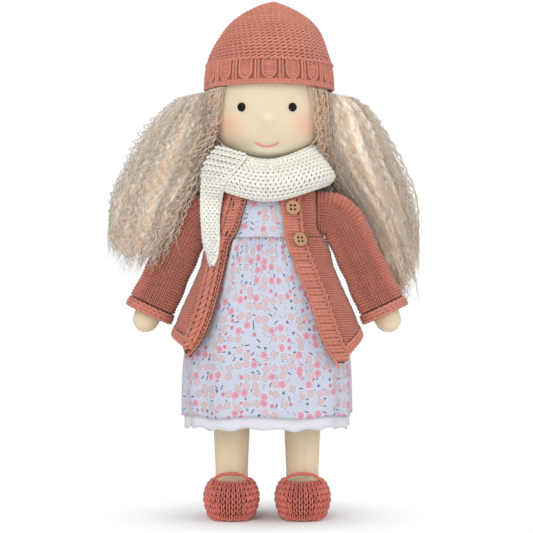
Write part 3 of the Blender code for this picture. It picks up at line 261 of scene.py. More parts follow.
terracotta = yarn("terracotta_wool", (0.630, 0.232, 0.165))
shoe_wool = yarn("shoe_wool", (0.740, 0.212, 0.158))
sole_wool = yarn("sole_wool", (0.520, 0.150, 0.112), toned=False)
white_wool = yarn("white_wool", (0.880, 0.870, 0.800), fuzz=0.25, mottle=0.05)
pink_thread = yarn("pink_thread", (0.83, 0.30, 0.33), fuzz=0.1)
dark_thread = yarn("dark_thread", (0.05, 0.03, 0.03), fuzz=0.1, toned=False)
cream_thread = yarn("cream_thread", (0.78, 0.66, 0.50), fuzz=0.1, toned=False)


# %% Jersey
JERSEY_COLUMN = 0.0009
JERSEY_ROW = 0.0007
# each cheek's distance from the middle, its height and its reach
CHEEK = (0.0305, 0.3010, 0.0170)
# the height, reach, strength and brightness of the shade under the nose and of the light on it
NOSE_TINTS = ((0.2985, 0.0080, 0.10, 0.80), (0.3077, 0.0085, 0.5, 1.12))
# the colour of a painted light on the chin, where it turns under towards the scarf
CHIN_PAINTED_LIGHT = (1.00, 0.90, 0.68)


def jersey(name, colour, blush=None):
    """Fine cotton knit. Its UV is in metres. A blushed one is rubbed with red crayon round the cheeks,
    and gets a painted shade under the nose, a painted highlight on it and a painted light on the chin.
    """
    made, tree, shader = new_material(name)
    place = in_object(tree)
    spot = parts_of(tree, on_cloth(tree))
    ribs = size_of(tree, sine(tree, times(tree, spot[0], math.pi / JERSEY_COLUMN)))
    row = times(tree, spot[1], math.tau / JERSEY_ROW)
    loops = sine(tree, maths(tree, "ADD", row, times(tree, ribs, 2.4)))
    fuzz = noise(tree, place, 1800.0, 3.0)
    clouds = noise(tree, place, 55.0, 3.0)
    height = maths(tree, "ADD", scaled(tree, loops, 0.20, ribs), times(tree, fuzz, 0.7))
    # The colour is a little darker where the bump is low: painted shade between the loops.
    light = scaled(tree, clouds, 0.08, scaled(tree, height, 0.035, 0.915))
    shown = dimmed(tree, colour, light)
    if blush:
        around = parts_of(tree, place)
        front = ramp(tree, around[1], 0.0, -0.02)

        def painted(under, mask, tint):
            return between(tree, times(tree, mask, front), under, tint)

        def distance(aside, up):
            return maths(tree, "SQRT", scaled(tree, aside, aside, times(tree, up, up)))

        beside = maths(tree, "SUBTRACT", size_of(tree, around[0]), CHEEK[0])
        away = distance(beside, maths(tree, "SUBTRACT", around[2], CHEEK[1]))
        away = scaled(tree, maths(tree, "SUBTRACT", noise(tree, place, 90.0, 3.0), 0.5), 0.006, away)
        shown = painted(shown, ramp(tree, away, CHEEK[2], 0.001, 0.0, 0.75), blush)
        # a painted shade under the nose and a painted highlight on it
        for level, reach, most, tint in NOSE_TINTS:
            away = distance(around[0], maths(tree, "SUBTRACT", around[2], level))
            mask = ramp(tree, away, reach, 0.0005, 0.0, most)
            shown = painted(shown, mask, tuple(tint * part for part in colour))
        # a painted light on the chin's underside
        shown = painted(shown, ramp(tree, around[2], 0.2890, 0.2810), CHIN_PAINTED_LIGHT)
        soften(shader, 0.40, (1.0, 0.6, 0.4), 0.010)
    surface(tree, shader, shown, height, 0.00007, 0.85, sheen=0.15, gloss=0.2, strength=0.6)
    return made


cream_jersey = jersey("cream_jersey_skin", (0.855, 0.710, 0.490))
face_jersey = jersey("face_jersey_skin", (0.800, 0.685, 0.495), blush=(0.860, 0.530, 0.370))


# %% Stuffing, wood and bead
def fluff(name, colour):
    """Carded wool, as it shows where the skin is open."""
    made, tree, shader = new_material(name)
    place = in_object(tree)
    strands = noise(tree, place, 400.0, 5.0, 0.7)
    dark = tuple(0.8 * part for part in colour)
    surface(tree, shader, between(tree, strands, dark, colour), strands, 0.0006, 0.95, sheen=0.3, gloss=0.1)
    return made


wool_fluff = fluff("carded_wool", (0.86, 0.80, 0.66))

wood, tree, shader = new_material("button_wood_grain")
place = in_object(tree)
stretched = node(tree, "Mapping", {"Vector": place, "Scale": (300.0, 300.0, 2600.0)}).outputs[0]
grain = noise(tree, stretched, 1.0, 4.0, 0.6)
bands = scaled(tree, sine(tree, times(tree, grain, 22.0)), 0.5, 0.5)
tint = between(tree, bands, (0.40, 0.22, 0.11), (0.60, 0.37, 0.21))
surface(tree, shader, tint, bands, 0.00004, 0.42, gloss=0.4)

bead, tree, shader = new_material("black_bead_gloss")
place = in_object(tree)
dust = noise(tree, place, 700.0, 2.0)
shown = between(tree, dust, (0.004, 0.004, 0.004), (0.010, 0.009, 0.009))
surface(tree, shader, shown, dust, 0.00001, 0.30, gloss=0.15)


# %% Printed cotton
MOTIF_SPACING = 0.0078


def petals(tree, away, angle, count, reach, depth):
    """How far inside the outline of a flower with round petals a point lies."""
    wave = size_of(tree, maths(tree, "COSINE", times(tree, angle, 0.5 * count)))
    edge = scaled(tree, maths(tree, "POWER", wave, 0.5), depth, reach)
    return maths(tree, "SUBTRACT", edge, away)


def printed_cotton(name, ground):
    """Flowered cotton. Its UV is in metres on the flat cloth."""
    made, tree, shader = new_material(name)
    flat = on_cloth(tree)

    def scattered(spacing, offset):
        """Each point's nearest scattered spot: place from it, its angle, distance and own random numbers."""
        moved = node(tree, "VectorMath", {0: flat, 1: (offset, 0.7 * offset, 0.0)}, operation="ADD").outputs[0]
        cells = node(tree, "TexVoronoi", {"Vector": moved, "Scale": 1 / spacing, "Randomness": 0.62},
                     voronoi_dimensions="2D")
        from_spot = node(tree, "VectorMath", {0: moved, 1: cells.outputs["Position"]},
                         operation="SUBTRACT").outputs[0]
        chance = node(tree, "SeparateColor", {0: cells.outputs["Color"]}).outputs
        turn = times(tree, chance[1], math.tau)
        turned = node(tree, "VectorRotate", {"Vector": from_spot, "Angle": turn}, rotation_type="Z_AXIS")
        parts = parts_of(tree, turned.outputs[0])
        angle = maths(tree, "ARCTAN2", parts[1], parts[0])
        return parts, length(tree, from_spot), angle, chance[0]

    def chosen(chance, low, high):
        above = maths(tree, "GREATER_THAN", chance, low)
        return times(tree, above, maths(tree, "LESS_THAN", chance, high))

    def painted(under, mask, which, colour):
        return between(tree, times(tree, mask, which), under, colour)

    edge = 0.00030
    shown = between(tree, noise(tree, flat, 35.0), tuple(0.95 * part for part in ground), ground)
    parts, away, angle, chance = scattered(MOTIF_SPACING * 0.66, 0.31)
    dash = times(tree, ramp(tree, size_of(tree, parts[1]), 0.00060, 0.00030),
                 ramp(tree, size_of(tree, parts[0]), 0.0022, 0.0018))
    leaves = ramp(tree, petals(tree, away, angle, 3, 0.0006, 0.0010), 0.0, edge)
    dot = ramp(tree, away, 0.0019, 0.0015)
    for mask, low, high, colour in ((dash, 0.0, 0.20, (0.46, 0.46, 0.56)), (dash, 0.20, 0.40, (0.045, 0.120, 0.260)),
                                    (leaves, 0.40, 0.54, (0.10, 0.19, 0.33)), (dot, 0.54, 0.68, (0.66, 0.26, 0.34))):
        shown = painted(shown, mask, chosen(chance, low, high), colour)
    parts, away, angle, chance = scattered(MOTIF_SPACING, 0.0)
    clear = ramp(tree, petals(tree, away, angle, 5, 0.0026, 0.0014), -0.0003, 0.0)
    heart = ramp(tree, size_of(tree, maths(tree, "SUBTRACT", away, 0.0010)), 0.0005, 0.0002)
    filled, drawn = chosen(chance, 0.0, 0.26), chosen(chance, 0.26, 0.66)
    shown = painted(shown, clear, chosen(chance, 0.0, 0.66), tuple(1.06 * part for part in ground))
    for which, count, rim, petal_colour, first, second in (
            (filled, 5, 0.0008, (0.80, 0.42, 0.50), (heart, (0.66, 0.20, 0.30)), ("rim", (0.66, 0.24, 0.34))),
            (drawn, 4, 0.0009, (0.74, 0.62, 0.64), ("rim", (0.47, 0.33, 0.33)), (heart, (0.66, 0.42, 0.42)))):
        inside = petals(tree, away, angle, count, 0.0023, 0.0010)
        flower = ramp(tree, inside, 0.0, edge)
        outline = times(tree, flower, ramp(tree, inside, rim, 0.0005))
        shown = painted(shown, flower, which, petal_colour)
        for mask, colour in (first, second):
            shown = painted(shown, outline if mask == "rim" else mask, which, colour)
    threads = weave(tree, flat)
    # The print is darker between the threads: painted shade.
    shown = between(tree, threads, dimmed(tree, shown, 0.90), shown)
    surface(tree, shader, shown, threads, 0.00005, 0.85, sheen=0.1, gloss=0.2, strength=0.5)
    return made


def weave(tree, flat, thread=0.00042):
    """Plain weave, from 0 between the threads to 1 on them."""
    spot = parts_of(tree, flat)
    across = sine(tree, times(tree, spot[0], math.tau / thread))
    along = sine(tree, times(tree, spot[1], math.tau / thread))
    uneven = noise(tree, flat, 900.0, 3.0)
    return scaled(tree, times(tree, across, along), 0.35, uneven)


flowered = printed_cotton("flowered_cotton", (0.630, 0.665, 0.780))
white_cotton, tree, shader = new_material("white_cotton_cloth")
flat = on_cloth(tree)
threads = weave(tree, flat)
# The cloth is darker between the threads: painted shade.
shown = between(tree, threads, (0.71, 0.71, 0.765), (0.80, 0.80, 0.855))
surface(tree, shader, shown, threads, 0.00005, 0.85, sheen=0.1)
print("materials", [made.name for made in bpy.data.materials][:20])

# %% [markdown]
# ## Cloth, strands and stitches
# Every garment is written as a place on cloth: i counts columns to the right and j counts rows downwards, and
# a function says where that spot is in space. A knitted stitch is then two short strands of yarn that lean
# together in a V, laid on the cloth at (i, j). A purl ridge is one long strand that waves from side to side.
# Thousands of stitches are far too many to model with operators, so the strands are made by one function that
# builds tubes from rows of points. Under the stitches lies a closed layer of the same wool, so no light comes
# through between them, and its darker tone is painted shade in the gaps between the stitches.


# %% Smooth tables
def eased(x, rows, column=1, ease=0.0):
    """A column of a table at x, with the corners between its rows rounded off."""
    table = np.array(sorted(rows))
    return np.mean([np.interp(np.asarray(x) + step, table[:, 0], table[:, column])
                    for step in np.linspace(-ease, ease, 7)], axis=0)


def look_up(table, across, down):
    """A value between a table's entries. Across and down run from 0 to 1 over it."""
    rows, columns = table.shape
    u = np.clip(across, 0, 1) * (columns - 1)
    v = np.clip(down, 0, 1) * (rows - 1)
    i = np.minimum(u.astype(int), columns - 2)
    j = np.minimum(v.astype(int), rows - 2)
    upper = table[j, i] + (table[j, i + 1] - table[j, i]) * (u - i)
    lower = table[j + 1, i] + (table[j + 1, i + 1] - table[j + 1, i]) * (u - i)
    return upper + (lower - upper) * (v - j)


def rounded(angle, power):
    """Cosine and sine of a superellipse, which is fuller than an ellipse."""
    cosine, sine = np.cos(angle), np.sin(angle)
    return np.sign(cosine) * np.abs(cosine) ** (2 / power), np.sign(sine) * np.abs(sine) ** (2 / power)


# %% Lines of points
def unit(vectors):
    return vectors / np.maximum(np.linalg.norm(vectors, axis=-1, keepdims=True), 1e-12)


def run_along(points):
    """How far each point of a line, or of many lines, lies from the line's start."""
    steps = np.linalg.norm(np.diff(points, axis=-2), axis=-1)
    return np.concatenate([np.zeros_like(steps[..., :1]), np.cumsum(steps, axis=-1)], axis=-1)


# %% Places on cloth
def out_of(place, i, j, hand=1.0):
    """The way out of the cloth at columns i and rows j."""
    step = 0.06
    down = place(i, j + step) - place(i, j - step)
    right = place(i + step, j) - place(i - step, j)
    return unit(np.cross(down, right) * hand)


def over(place, i, j, lift=0.0, hand=1.0):
    """Points that far over the cloth, in metres, and the way out of it."""
    i, j, lift = np.broadcast_arrays(np.asarray(i, float), np.asarray(j, float), np.asarray(lift, float))
    out = out_of(place, i, j, hand)
    return place(i, j) + out * lift[..., None], out


# %% Strands
def strands(points, out, wide, tall, sides=4, plies=160.0, tone=1.0, closed=False):
    """Tubes through rows of points. Returns their points, faces, UVs and tones."""
    count, rings, _ = points.shape
    if closed:
        along = np.roll(points, -1, 1) - np.roll(points, 1, 1)
    else:
        along = np.gradient(points, axis=1)
    across = unit(np.cross(along, out))
    wide = np.broadcast_to(wide, (count, rings))[..., None]
    tall = np.broadcast_to(tall, (count, rings))[..., None]
    made = []
    for k in range(sides):
        angle = math.tau * k / sides
        made.append(points + across * wide * math.cos(angle) + out * tall * math.sin(angle))
    made = np.stack(made, axis=2)
    index = np.arange(count * rings * sides).reshape(count, rings, sides)
    following = np.roll(index, -1, 1) if closed else index[:, 1:]
    first = index if closed else index[:, :-1]
    quads = np.stack([first, following, np.roll(following, -1, 2), np.roll(first, -1, 2)], axis=-1).reshape(-1, 4)
    faces = [quads]
    if not closed:
        faces += [index[:, 0], index[:, -1, ::-1]]
    run = np.broadcast_to(plies * run_along(points)[..., None], (count, rings, sides))
    turn = np.broadcast_to(np.arange(sides) / sides, (count, rings, sides))
    tones = np.broadcast_to(np.asarray(tone, float).reshape(-1, 1, 1), (count, rings, sides))
    uv = np.stack([turn, run], axis=-1).reshape(-1, 2)
    return made.reshape(-1, 3), faces, uv, tones.reshape(-1)


def uneven(count, spread=0.07):
    """A tone for each strand, near 1."""
    return np.clip(1 + spread * rng.standard_normal(count), 0.75, 1.2)


def laid(place, i, j, lift, wide, tall, spread=0.04, hand=1.0, sides=5, closed=False):
    """Strands along columns i and rows j that lie that far over the cloth."""
    points, out = over(place, np.atleast_2d(i), np.atleast_2d(j), lift, hand)
    return strands(points, out, wide, tall, sides=sides, closed=closed, tone=uneven(len(points), spread))


# %% Cloth layers
# The layer's tone, low by default, is painted shade in the gaps between the stitches over it.
def layer(place, columns, rows, low, high, keep=None, closed=False, hand=1.0, tone=0.22):
    """A closed layer of cloth between two heights over a place, only where keep says so."""
    i, j = np.meshgrid(columns, rows)
    kept = np.ones((len(rows) - 1, len(columns) - 1), bool)
    if keep is not None:
        kept = keep((i[:-1, :-1] + i[1:, 1:]) / 2, (j[:-1, :-1] + j[1:, 1:]) / 2)
    outer, out = over(place, i, j, high, hand)
    inner, _ = over(place, i, j, low, hand)
    size = i.size
    index = np.arange(size).reshape(i.shape)
    if closed:
        outer[:, -1], inner[:, -1] = outer[:, 0], inner[:, 0]
        index[:, -1] = index[:, 0]
    a, b, c, d = index[:-1, :-1], index[:-1, 1:], index[1:, 1:], index[1:, :-1]
    if hand < 0:
        a, b, c, d = b, a, d, c
    outside = np.stack([a, d, c, b], axis=-1)[kept]
    inside = np.stack([a, b, c, d], axis=-1)[kept] + size
    faces = [outside, inside]
    padded = np.pad(kept, 1)
    if closed:
        padded[1:-1, 0], padded[1:-1, -1] = kept[:, -1], kept[:, 0]
    for neighbour, start, end in ((padded[1:-1, :-2], index[:-1, :-1], index[1:, :-1]),
                                  (padded[1:-1, 2:], index[1:, 1:], index[:-1, 1:]),
                                  (padded[:-2, 1:-1], index[:-1, 1:], index[:-1, :-1]),
                                  (padded[2:, 1:-1], index[1:, :-1], index[1:, 1:])):
        edge = kept & ~neighbour
        rim = np.stack([start, start + size, end + size, end], axis=-1)[edge]
        faces.append(rim if hand > 0 else rim[:, ::-1])
    points = np.concatenate([outer.reshape(-1, 3), inner.reshape(-1, 3)])
    return points, faces, np.zeros((2 * size, 2)), np.full(2 * size, tone)


# %% Stitches
# one side of a V: its place aside from the middle, down the cloth and over it, and how thick it is there
KNIT_PATH = ((0.33, -0.58, 0.0, 0.40), (0.28, -0.20, 1.0, 1.0), (0.18, 0.22, 1.0, 1.0), (0.10, 0.60, 0.0, 0.50))
# a strand's lift, half-width and half-height, as shares of the stitch's width
STITCH_LIFT = 0.24
STRAND_WIDE = 0.172
STRAND_TALL = 0.33
PLAIN_TALL = 0.75


def knit(place, i, j, stitch, hand=1.0, tall=PLAIN_TALL, size=(1.0, 1.0)):
    """Plain stitches, each a V of two strands, centred at i and j. The stitch's width is in metres.

    The size is a stitch's width and height as the place counts them.
    """
    aside, down, lift, thick = np.array(KNIT_PATH).T
    return [laid(place, i[:, None] + side * aside * size[0], j[:, None] + down * size[1],
                 lift * tall * STITCH_LIFT * stitch, thick * STRAND_WIDE * stitch,
                 thick * STRAND_TALL * stitch * tall / PLAIN_TALL, spread=0.07, hand=hand, sides=4)
            for side in (-1.0, 1.0)]


def stitch_grid(columns, rows):
    """The middles of stitches in even columns and rows."""
    return [grid.ravel() for grid in np.meshgrid(columns, rows)]


def waves(place, j, start, end, wave=1.0, sway=0.22, wide=0.0013, tall=0.0011, lift=0.0003, hand=1.0, phase=0.0,
          closed=False, points_each=8):
    """One purl ridge along row j: a strand that sways once in each wave's number of columns."""
    count = max(int(round((end - start) / wave)), 1) * points_each
    i = np.linspace(start, end, count, endpoint=False) if closed else np.linspace(start, end, count + 1)
    turn = math.tau * (np.arange(len(i)) / points_each + phase)
    rows = j + sway * np.sin(turn)
    return laid(place, i, rows, lift + 0.00015 * np.cos(2 * turn)[None], wide, tall, hand=hand, closed=closed)


def cable(place, i, j, wide, lift=0.0006, turns=0.0052, hand=1.0, radius=0.0010):
    """Two strands twisted round each other along the path through columns i and rows j."""
    middle, out = over(place, i[None], j[None], lift, hand)
    across = unit(np.cross(np.gradient(middle, axis=1), out))
    run = run_along(middle[0])
    lots = []
    for side in (0.0, math.pi):
        turn = (math.tau * run / turns + side)[None, :, None]
        path = middle + across * wide * np.sin(turn) + out * 0.5 * wide * np.cos(turn)
        lots.append(strands(path, out, radius, radius, sides=6, tone=uneven(1, 0.05)))
    return lots


# %% Pieces
def piece(name, lots, finish):
    """One mesh from several lots of points and faces, with its material and smooth shading."""
    points = np.concatenate([lot[0] for lot in lots])
    starts = np.cumsum([0] + [len(lot[0]) for lot in lots])
    corners, sizes = [], []
    for start, (_, faces, _, _) in zip(starts, lots):
        for group in faces:
            if len(group):
                corners.append((group + start).reshape(-1))
                sizes.append(np.full(len(group), group.shape[1]))
    corners, sizes = np.concatenate(corners), np.concatenate(sizes)
    mesh = bpy.data.meshes.new(name)
    mesh.vertices.add(len(points))
    mesh.vertices.foreach_set("co", points.astype(np.float32).reshape(-1))
    mesh.loops.add(len(corners))
    mesh.loops.foreach_set("vertex_index", corners.astype(np.int32))
    mesh.polygons.add(len(sizes))
    mesh.polygons.foreach_set("loop_start", np.concatenate([[0], np.cumsum(sizes)[:-1]]).astype(np.int32))
    mesh.update(calc_edges=True)
    layer_uv = mesh.uv_layers.new(name="UVMap")
    uv = np.concatenate([lot[2] for lot in lots])
    layer_uv.data.foreach_set("uv", uv[corners].astype(np.float32).reshape(-1))
    tones = mesh.attributes.new("tone", "FLOAT", "POINT")
    tones.data.foreach_set("value", np.concatenate([lot[3] for lot in lots]).astype(np.float32))
    mesh.validate()
    mesh.shade_smooth()
    made = bpy.data.objects.new(name, mesh)
    bpy.context.collection.objects.link(made)
    made.data.materials.append(finish)
    print(name, len(sizes), "faces,", int((sizes - 2).sum()), "triangles")
    return made


def only(made):
    """Selects one object and makes it the active one."""
    bpy.ops.object.select_all(action="DESELECT")
    made.select_set(True)
    bpy.context.view_layer.objects.active = made


def welded(made, near=1e-6):
    """Joins the points that meet, and turns all faces outwards."""
    only(made)
    bpy.ops.object.mode_set(mode="EDIT")
    bpy.ops.mesh.select_all(action="SELECT")
    bpy.ops.mesh.remove_doubles(threshold=near)
    bpy.ops.mesh.normals_make_consistent(inside=False)
    bpy.ops.object.mode_set(mode="OBJECT")
    return made


def worn(made, body, *nodes):
    """The piece stands for these nodes of the frame and moves with their body."""
    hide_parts(*nodes)
    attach(made, body)
    return made


# %% [markdown]
# ## The doll's body
# The body is jersey, cut as tubes, stuffed hard and tied off. So the shapes are full, with no flat places, and
# a seam runs down each limb. The numbers here are the same as in the frame's source, in metres.

# %% Body sizes
# the doll's left is at +X
SIDES = (("left", 1), ("right", -1))
HIP_HEIGHT = 0.162
TORSO_LENGTH = 0.1125
NECK_TOP = HIP_HEIGHT + TORSO_LENGTH
NECK_RADIUS = 0.0165
TORSO_HALF_WIDTH = 0.0368
TORSO_HALF_DEPTH = 0.0260
BODY_POWER = 2.3
# how far up the torso, and its width and depth there, as shares
TORSO_SHARES = ((0.100, 1.087, 0.365), (0.226, 1.128, 0.846), (0.361, 1.046, 1.000), (0.514, 1.000, 1.019),
                (0.676, 1.000, 1.000), (0.784, 0.924, 0.885), (0.874, 0.652, 0.731))
TORSO_ROWS = [(HIP_HEIGHT + 0.0011, TORSO_HALF_WIDTH * 0.978, 0.0011)]
TORSO_ROWS += [(HIP_HEIGHT + share * TORSO_LENGTH, wide * TORSO_HALF_WIDTH, deep * TORSO_HALF_DEPTH)
               for share, wide, deep in TORSO_SHARES]
TORSO_ROWS += [(HIP_HEIGHT + 0.946 * TORSO_LENGTH, NECK_RADIUS, NECK_RADIUS), (NECK_TOP, NECK_RADIUS, NECK_RADIUS)]
WAIST_HEIGHT = 0.2157
SHOULDER_HEIGHT = 0.2356


def torso_size(height, more=0.0, ease=0.0012):
    return eased(height, TORSO_ROWS, 1, ease) + more, eased(height, TORSO_ROWS, 2, ease) + more


def level_place(size, angle, height):
    """Points on level rings, whose half-width and half-depth are the size."""
    across, along = rounded(angle, BODY_POWER)
    return np.stack([size[0] * across, size[1] * along, height], axis=-1)


def grid_faces(index):
    """Faces between the points of a grid, from the grid of their numbers."""
    return np.stack([index[:-1, :-1], index[1:, :-1], index[1:, 1:], index[:-1, 1:]], axis=-1).reshape(-1, 4)


def tube(name, rings):
    """A closed form of cream jersey through rings of points, with its UVs in metres."""
    rings = np.asarray(rings)
    rings = np.concatenate([rings, rings[:, :1]], axis=1)
    index = np.arange(rings.shape[0] * rings.shape[1]).reshape(rings.shape[:2])
    around = run_along(rings)
    down = np.cumsum(np.linalg.norm(np.diff(rings[:, :1].mean(axis=1), axis=0, prepend=rings[:1, 0]), axis=-1))
    down = np.broadcast_to(down[:, None], around.shape)
    uv = np.stack([around, down], axis=-1).reshape(-1, 2)
    faces = [grid_faces(index), index[:1, :-1], index[-1:, -2::-1]]
    made = piece(name, [(rings.reshape(-1, 3), faces, uv, np.ones(index.size))], cream_jersey)
    return welded(made)


# %% Torso
heights = np.linspace(HIP_HEIGHT + 0.0011, NECK_TOP, 60)[:, None]
around = np.linspace(0, math.tau, 64, endpoint=False)[None]
around, heights = np.broadcast_arrays(around, heights)
rings = level_place(torso_size(heights), around, heights)
torso = tube("torso_jersey", rings)
worn(torso, "torso", "torso_skin")

# %% [markdown]
# ## Head
# The head is a tied ball of wool under jersey. It starts as a sphere, whose points are moved out to the
# frame's fuller outline. A bead under the skin lifts the nose, and the thread of the mouth pulls the skin in a
# little. Each eye is a low black bead, so it is a sphere pressed flat and turned to face out of the head.

# %% Head
HEAD_RADIUS = 0.0454
HEAD_MIDDLE = 0.3211
CHIN_DROP = 0.0456
CROWN_RISE = 0.0640
CHIN_POWER = 2.3
CROWN_POWER = 2.1
# places on the face, from the middle of the head: aside and up
NOSE = (0.0, -0.0145)
EYE = (0.0194, -0.0064)
CHEEK_BULGE = (0.0215, -0.0210)
CHIN = (0.0, -0.0446)
MOUTH_HALF_WIDTH = 0.0088
MOUTH_RISE = -0.0330
MOUTH_DIP = 0.0028


def head_radius(height):
    rise = np.asarray(height) - HEAD_MIDDLE
    reach = np.where(rise > 0, CROWN_RISE, CHIN_DROP)
    power = np.where(rise > 0, CROWN_POWER, CHIN_POWER)
    share = np.clip(np.abs(rise) / reach, 0, 1)
    return HEAD_RADIUS * (1 - share ** power) ** (1 / power)


def mouth_height(x):
    return HEAD_MIDDLE + MOUTH_RISE - MOUTH_DIP * (1 - (x / MOUTH_HALF_WIDTH) ** 2)


def swell(x, z, centre, reach, rise):
    """A soft bump on the face, at centre over the middle of the head."""
    return rise * np.exp(-((x - centre[0]) ** 2 + (z - HEAD_MIDDLE - centre[1]) ** 2) / reach ** 2)


def chin_push(x, z):
    return swell(0.35 * x, z, CHIN, 0.0068, 0.0070)


bpy.ops.mesh.primitive_uv_sphere_add(segments=128, ring_count=96, radius=1.0)
head = bpy.context.object
head.name = "head_jersey"
points = np.array([vert.co for vert in head.data.vertices])
latitude = np.arcsin(np.clip(points[:, 2], -1, 1))
power = np.where(latitude > 0, CROWN_POWER, CHIN_POWER)
reach = np.where(latitude > 0, CROWN_RISE, CHIN_DROP)
flat = np.maximum(np.hypot(points[:, 0], points[:, 1]), 1e-9)
radius = HEAD_RADIUS * np.cos(latitude) ** (2 / power)
rise = reach * np.sign(latitude) * np.abs(np.sin(latitude)) ** (2 / power)
height = np.maximum(HEAD_MIDDLE + rise, NECK_TOP + 0.0004)
points = np.stack([radius * points[:, 0] / flat, radius * points[:, 1] / flat, height], axis=-1)
x, y, z = points.T
front = np.clip(-y / HEAD_RADIUS, 0, 1) ** 0.5
push = swell(x, z, NOSE, 0.0052, 0.0046)
push += swell(np.abs(x), z, CHEEK_BULGE, 0.0120, 0.0009)
push -= swell(np.abs(x), z, EYE, 0.0060, 0.0005)
push += chin_push(x, z)
push -= 0.0005 * np.exp(-((z - mouth_height(x)) / 0.0016) ** 2) * (np.abs(x) < MOUTH_HALF_WIDTH)
y = y - push * front
for vert, place in zip(head.data.vertices, np.stack([x, y, z], axis=-1)):
    vert.co = place
for loop, uv in zip(head.data.loops, head.data.uv_layers[0].data):
    spot = head.data.vertices[loop.vertex_index].co
    uv.uv = (uv.uv[0] * math.tau * HEAD_RADIUS, spot.z)
head.data.shade_smooth()
head.data.materials.append(face_jersey)
worn(head, "head", "head_skin")

# %% Mouth
MOUTH_STITCHES = 7
ends = np.linspace(-MOUTH_HALF_WIDTH, MOUTH_HALF_WIDTH, MOUTH_STITCHES + 1)
x = np.stack([np.linspace(start - 0.0003, end + 0.0003, 6) for start, end in zip(ends, ends[1:])])
z = mouth_height(np.clip(x, -MOUTH_HALF_WIDTH, MOUTH_HALF_WIDTH))
lift = 0.0004 + 0.0003 * np.sin(np.linspace(0, math.pi, 6))
reach = head_radius(z) + lift
y = -np.sqrt(reach ** 2 - x ** 2) - 0.93 * chin_push(x, z)
out = np.stack([x, y, 0 * x], axis=-1) / reach[..., None]
thick = np.array([0.35, 0.8, 1.0, 1.0, 0.8, 0.35])
thread = strands(np.stack([x, y, z], axis=-1), out, 0.00085 * thick, 0.00060 * thick, sides=8, plies=500.0,
                 tone=uneven(MOUTH_STITCHES))
worn(piece("mouth_backstitch", [thread], pink_thread), "head", "mouth_stitch")


# %% Eyes
EYE_RADIUS = 0.0034
EYE_PROUD = 0.0016
for name, side in SIDES:
    height = HEAD_MIDDLE + EYE[1]
    way = Vector((side * EYE[0], -math.sqrt(float(head_radius(height)) ** 2 - EYE[0] ** 2), 0.0))
    bpy.ops.object.select_all(action="DESELECT")
    bpy.ops.mesh.primitive_uv_sphere_add(segments=32, ring_count=16, radius=1.0)
    eye = bpy.context.object
    eye.name = f"{name}_eye_bead"
    facing = way.to_track_quat("Z", "Y").to_matrix().to_4x4()
    eye.data.transform(Matrix.Diagonal((EYE_RADIUS, EYE_RADIUS, EYE_PROUD, 1.0)))
    eye.data.transform(Matrix.Translation(way + Vector((0, 0, height))) @ facing)
    eye.data.shade_smooth()
    eye.data.materials.append(bead)
    worn(eye, "head", f"{name}_eye")


# %% Parts of the frame that keep their shape
def repaint(finish, *names):
    """A new material on parts of the frame."""
    for name in names:
        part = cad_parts[name]
        part.data.materials.clear()
        part.data.materials.append(finish)


repaint(wool_fluff, "torso_stuffing", "head_stuffing", "nose_bead", "left_arm_stuffing", "right_arm_stuffing",
        "left_leg_stuffing", "right_leg_stuffing")
repaint(cream_thread, "neck_thread", "left_hip_cord", "right_hip_cord")

# %% [markdown]
# ## Arms
# Each arm is one tube of jersey from the shoulder to a rounded hand. It lies inside its sleeve along a path
# that leaves the armhole level and bends down. Every ring of the arm, sleeve and cuff stands on that path.

# %% Arm path
ARM_TILT = math.radians(25)
SLEEVE_RADIUS = 0.0178
SLEEVE_END_RADIUS = 0.0192
SLEEVE_LENGTH = 0.0742
CUFF_LENGTH = 0.0070
CUFF_RADIUS = 0.0196
BEND = SLEEVE_RADIUS + 0.0020
BEND_TURN = math.pi / 2 - ARM_TILT
BEND_LENGTH = BEND * BEND_TURN
# where the sleeve and the arm's own jersey start, from the doll's middle
SLEEVE_START = 0.0386
ARM_START = 0.0375


def arm_place(side, angle, distance, radius, elbow):
    """Points round the arm's path, that far past the start of its bend."""
    turn = np.clip(distance / BEND, 0, BEND_TURN)
    past = np.maximum(distance - BEND_LENGTH, 0)
    x = elbow + np.minimum(distance, 0) + BEND * np.sin(turn) + past * math.cos(BEND_TURN)
    z = SHOULDER_HEIGHT - BEND + BEND * np.cos(turn) - past * math.sin(BEND_TURN)
    out = radius * np.sin(angle)
    return np.stack([side * (x + out * np.sin(turn)), radius * np.cos(angle), z + out * np.cos(turn)], axis=-1)

# %% Sizes of the garments
BODICE_OUT = 0.0015
CLOTH_GAP = 0.0005
CARDIGAN_OUT = 0.0040
SKIRT_LENGTH = 0.1362
SKIRT_FLARE = (0.0271, 0.0225)
SKIRT_ROWS = ((0.0, 0.0), (0.10, 0.19), (0.19, 0.36), (0.41, 0.69), (0.56, 0.86), (0.74, 0.97), (1.0, 1.0))
FLARE_TOP = 0.1950
FLARE_SLOPE = 0.165
NECKLINE = 0.2585


def skirt_size(height, more=0.0):
    wide, deep = torso_size(np.full_like(height, WAIST_HEIGHT), BODICE_OUT + CLOTH_GAP)
    flare = eased((WAIST_HEIGHT - height) / SKIRT_LENGTH, SKIRT_ROWS, 1, 0.03)
    return wide + SKIRT_FLARE[0] * flare + more, deep + SKIRT_FLARE[1] * flare + more


